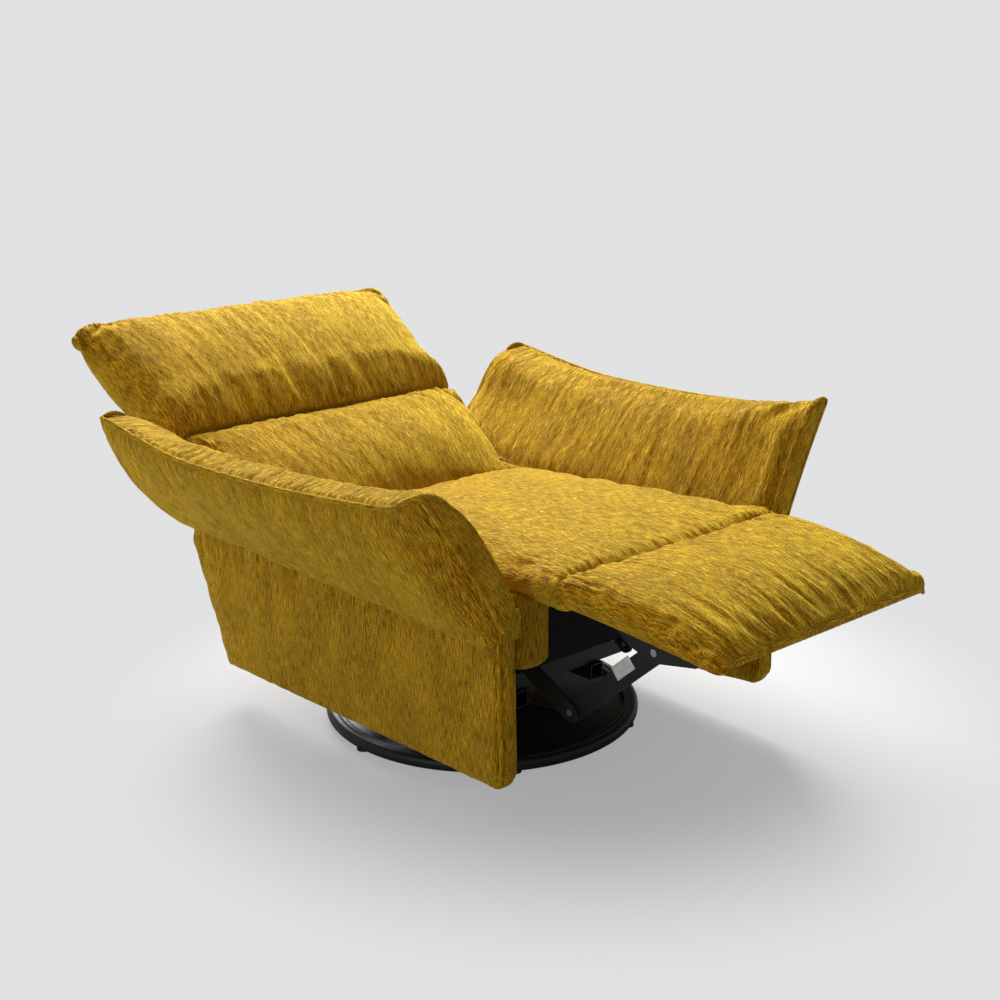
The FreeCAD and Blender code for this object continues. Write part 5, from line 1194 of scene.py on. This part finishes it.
def arm_flap(side_name, side):
    """The cloth that closes an arm's front end over its hinge: a thin padded tongue."""
    a, b = steps(16, 0.3)[:, None], steps(18, 0.3)[None]
    x, z = 0.3020 + 0.0025 * a + (0.0375 + 0.003 * a) * b, 0.3480 + 0.0480 * a + 0 * b
    lean = -0.4325 - 0.0035 * ease(0.0, 0.5, a) + 0.0025 * a
    front, rear = stack(side * x, lean, z), stack(side * x, lean + 0.0035, z)
    cloth = np.stack([x, z], -1)
    flap = pad(f"arm_flap_{side_name}", front, rear, cloth, bulge=(0.0015,) * 4, rows=4, held=(1, 1, 1, 1))
    dress(flap, "ochre_chenille", f"arm_{side_name}")


for side_name, side in SIDES:
    arm_sewing(side_name, side)
    panel_sewing(side_name, side)
    head_knots(side_name, side)
    arm_flap(side_name, side)
for side_name, side in SIDES:  # covered rolls between the seat and the arms
    channel = flip(stack(0.2810, np.linspace(-0.33, 0.300, 60), 0.3775), side)
    cord(f"channel_roll_{side_name}", channel, "seat_frame", 0.0095)
cord("footrest_welt", SEAMS["footrest_pad"], "footrest", 0.0026, 14)


# Lining, straps, board, base ring and sticker

def board_cover():
    """The board under the footrest, covered in the same cloth, with soft edges."""
    a, b = skin_steps(20, 0.3, 40, 0.3)
    x, y = b * 0.219 + 0 * a, -0.575 - 0.184 * a + 0 * b
    top, bottom = (stack(x, y, footrest_low(y) - depth) for depth in (0.0006, 0.0172))
    return pad("board_cover", bottom, top, np.stack([x, y], -1), (0.003,) * 4, rows=4,
               held=(1, 1, 1, 1), squareness=0.7)


def lining():
    """The black lining behind the linkage: one thickness, with slack waves between its tacked edges."""
    a, b = np.linspace(0, 1, 24)[:, None], np.linspace(-1, 1, 70)[None]
    slack = (1 - b**6) * (0.3 + 0.7 * np.sin(np.pi * a))
    y = -0.3535 - 0.0030 * slack * (1 + grain(b * 3 + 0 * a, a * 2 + 0 * b, 91)) / 2
    points = stack(b * 0.1925, y, 0.375 - 0.131 * a)
    shell = Shell()
    shell.grid(points, np.stack(np.broadcast_arrays(b * 0.1925, a * 0.131), -1), 1.0)
    return shell.piece("lining")


def strap(number):
    """One woven strap on the deck's slope, a thin closed band."""
    a, b = np.linspace(0, 1, 60)[:, None], np.linspace(-1, 1, 9)[None]
    y = -0.3995 + 0.5765 * a + 0 * b
    high = deck_height(y) - 0.0006 + 0.0003 * np.sin(150 * a)
    x = (number - 2) * 0.076 + b * 0.0257
    cloth = np.stack(np.broadcast_arrays(x, y), -1)
    return pad(f"strap_{number + 1}", stack(x, y, high), stack(x, y, high - 0.0020), cloth, (0.0004,) * 4,
               rows=2, held=(1, 1, 1, 1))


def sticker():
    """A bare white sticker on the outer face of the right link, square to the link."""
    along = unit(np.array([0.0, -0.18, 0.159]))
    across = np.array([0.0, along[2], -along[1]])
    centre = np.array([-0.1823, -0.5405, 0.2978])
    u, v = np.meshgrid(np.linspace(-0.024, 0.024, 14), np.linspace(-0.012, 0.012, 8), indexing="ij")
    face = centre + u[..., None] * along + v[..., None] * across
    return pad("sticker", face - [0.0002, 0, 0], face, np.stack([u, v], -1), (0, 0, 0, 0), rows=1,
               held=(1, 1, 1, 1))


def base_ring():
    """The steel ring: a rounded outer roll, a groove inside it and a flat inner lip."""
    turn = np.linspace(0, np.pi / 2, 7)
    outer = [(0.2935 + 0.0065 * np.sin(t), 0.0105 - 0.0065 * np.cos(t)) for t in turn]
    upper = [(0.2900 + 0.0100 * np.cos(t), 0.0160 + 0.0100 * np.sin(t)) for t in turn]
    inner = [(0.2845, 0.0252), (0.2825, 0.0225), (0.2800, 0.0222), (0.2775, 0.0232), (0.2745, 0.0228),
             (0.2740, 0.0180), (0.2740, 0.0065), (0.2765, 0.0040)]
    profile = outer + upper + inner
    return lathe("base_ring_round", profile + profile[:1], 180)


board = dress(board_cover(), "ochre_chenille", "footrest")
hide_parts("footrest_board")
apron = dress(lining(), "black_lining", "seat_frame")
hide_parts("front_apron")
for number in range(5):
    band = dress(strap(number), "webbing", "seat_frame")
    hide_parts("deck_straps")
ring = dress(base_ring(), "black_steel", "base")
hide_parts("base_ring")
dress(sticker(), "white_paper", "lift_links")


# Floor, light and backdrop

GREY = (0.755, 0.757, 0.765)


def paper_floor(tree):
    """A pale floor that is lit near the object and melts into even grey away from it."""
    place = object_place(tree)
    from_object = place.moved((-0.12, 0.12, 0.0))
    away = place.node("ShaderNodeVectorMath", {"operation": "LENGTH"}, {0: from_object}, "Value")
    path = add_node(tree, "ShaderNodeLightPath", {}, {}, "Is Camera Ray")
    lit = add_node(tree, "ShaderNodeBsdfDiffuse", {}, {"Color": (0.52, 0.52, 0.525)})
    even = add_node(tree, "ShaderNodeEmission", {}, {"Color": GREY, "Strength": 1.0})
    share = (away.step(0.42, 0.95) * 0.55 + 0.45) * path
    return add_node(tree, "ShaderNodeMixShader", {}, {0: share, 1: lit, 2: even})


def studio():
    """A wide pale floor, soft lamps above and at the side, and an even sky that the camera sees as grey."""
    turn = np.linspace(0, 2 * np.pi, 97)
    radius = np.array([0.001, 1, 3, 10, 60])[:, None]
    shell = Shell()
    points = stack(radius * np.cos(turn), radius * np.sin(turn), 0)
    shell.grid(points, points[..., :2], 1.0)
    floor = shell.piece("floor")
    if floor.data.polygons[0].normal.z < 0:
        floor.data.flip_normals()
    floor.data.materials.append(mixed_material("pale_floor", paper_floor))
    world = bpy.data.worlds.new("sky")
    bpy.context.scene.world = world
    world.use_nodes = True
    tree = world.node_tree
    tree.nodes.clear()
    path = add_node(tree, "ShaderNodeLightPath", {}, {}, "Is Camera Ray")
    sky = add_node(tree, "ShaderNodeBackground", {}, {"Color": (1, 1, 1), "Strength": 0.40})
    seen = add_node(tree, "ShaderNodeBackground", {}, {"Color": GREY, "Strength": 1.0})
    mixed = add_node(tree, "ShaderNodeMixShader", {}, {0: path, 1: sky, 2: seen})
    end = tree.nodes.new("ShaderNodeOutputWorld")
    tree.links.new(mixed.socket, end.inputs["Surface"])
    lamp("overhead", (1.5, 2.7, 2.8), target=(0.0, 0.0, 0.3), size=2.4, power=540)
    lamp("left_side", (-3.0, -0.9, 0.60), target=(0.0, 0.0, 0.35), size=1.2, power=16)


def lamp(name, place, target, size, power):
    """A square soft lamp at a place, turned to a target."""
    light = bpy.data.lights.new(name, "AREA")
    light.shape, light.size, light.energy = "SQUARE", size, power
    holder = bpy.data.objects.new(name, light)
    bpy.context.scene.collection.objects.link(holder)
    holder.location = place
    holder.rotation_euler = (Vector(target) - Vector(place)).to_track_quat("-Z", "Y").to_euler()


studio()
bpy.context.scene.view_settings.view_transform = "Standard"
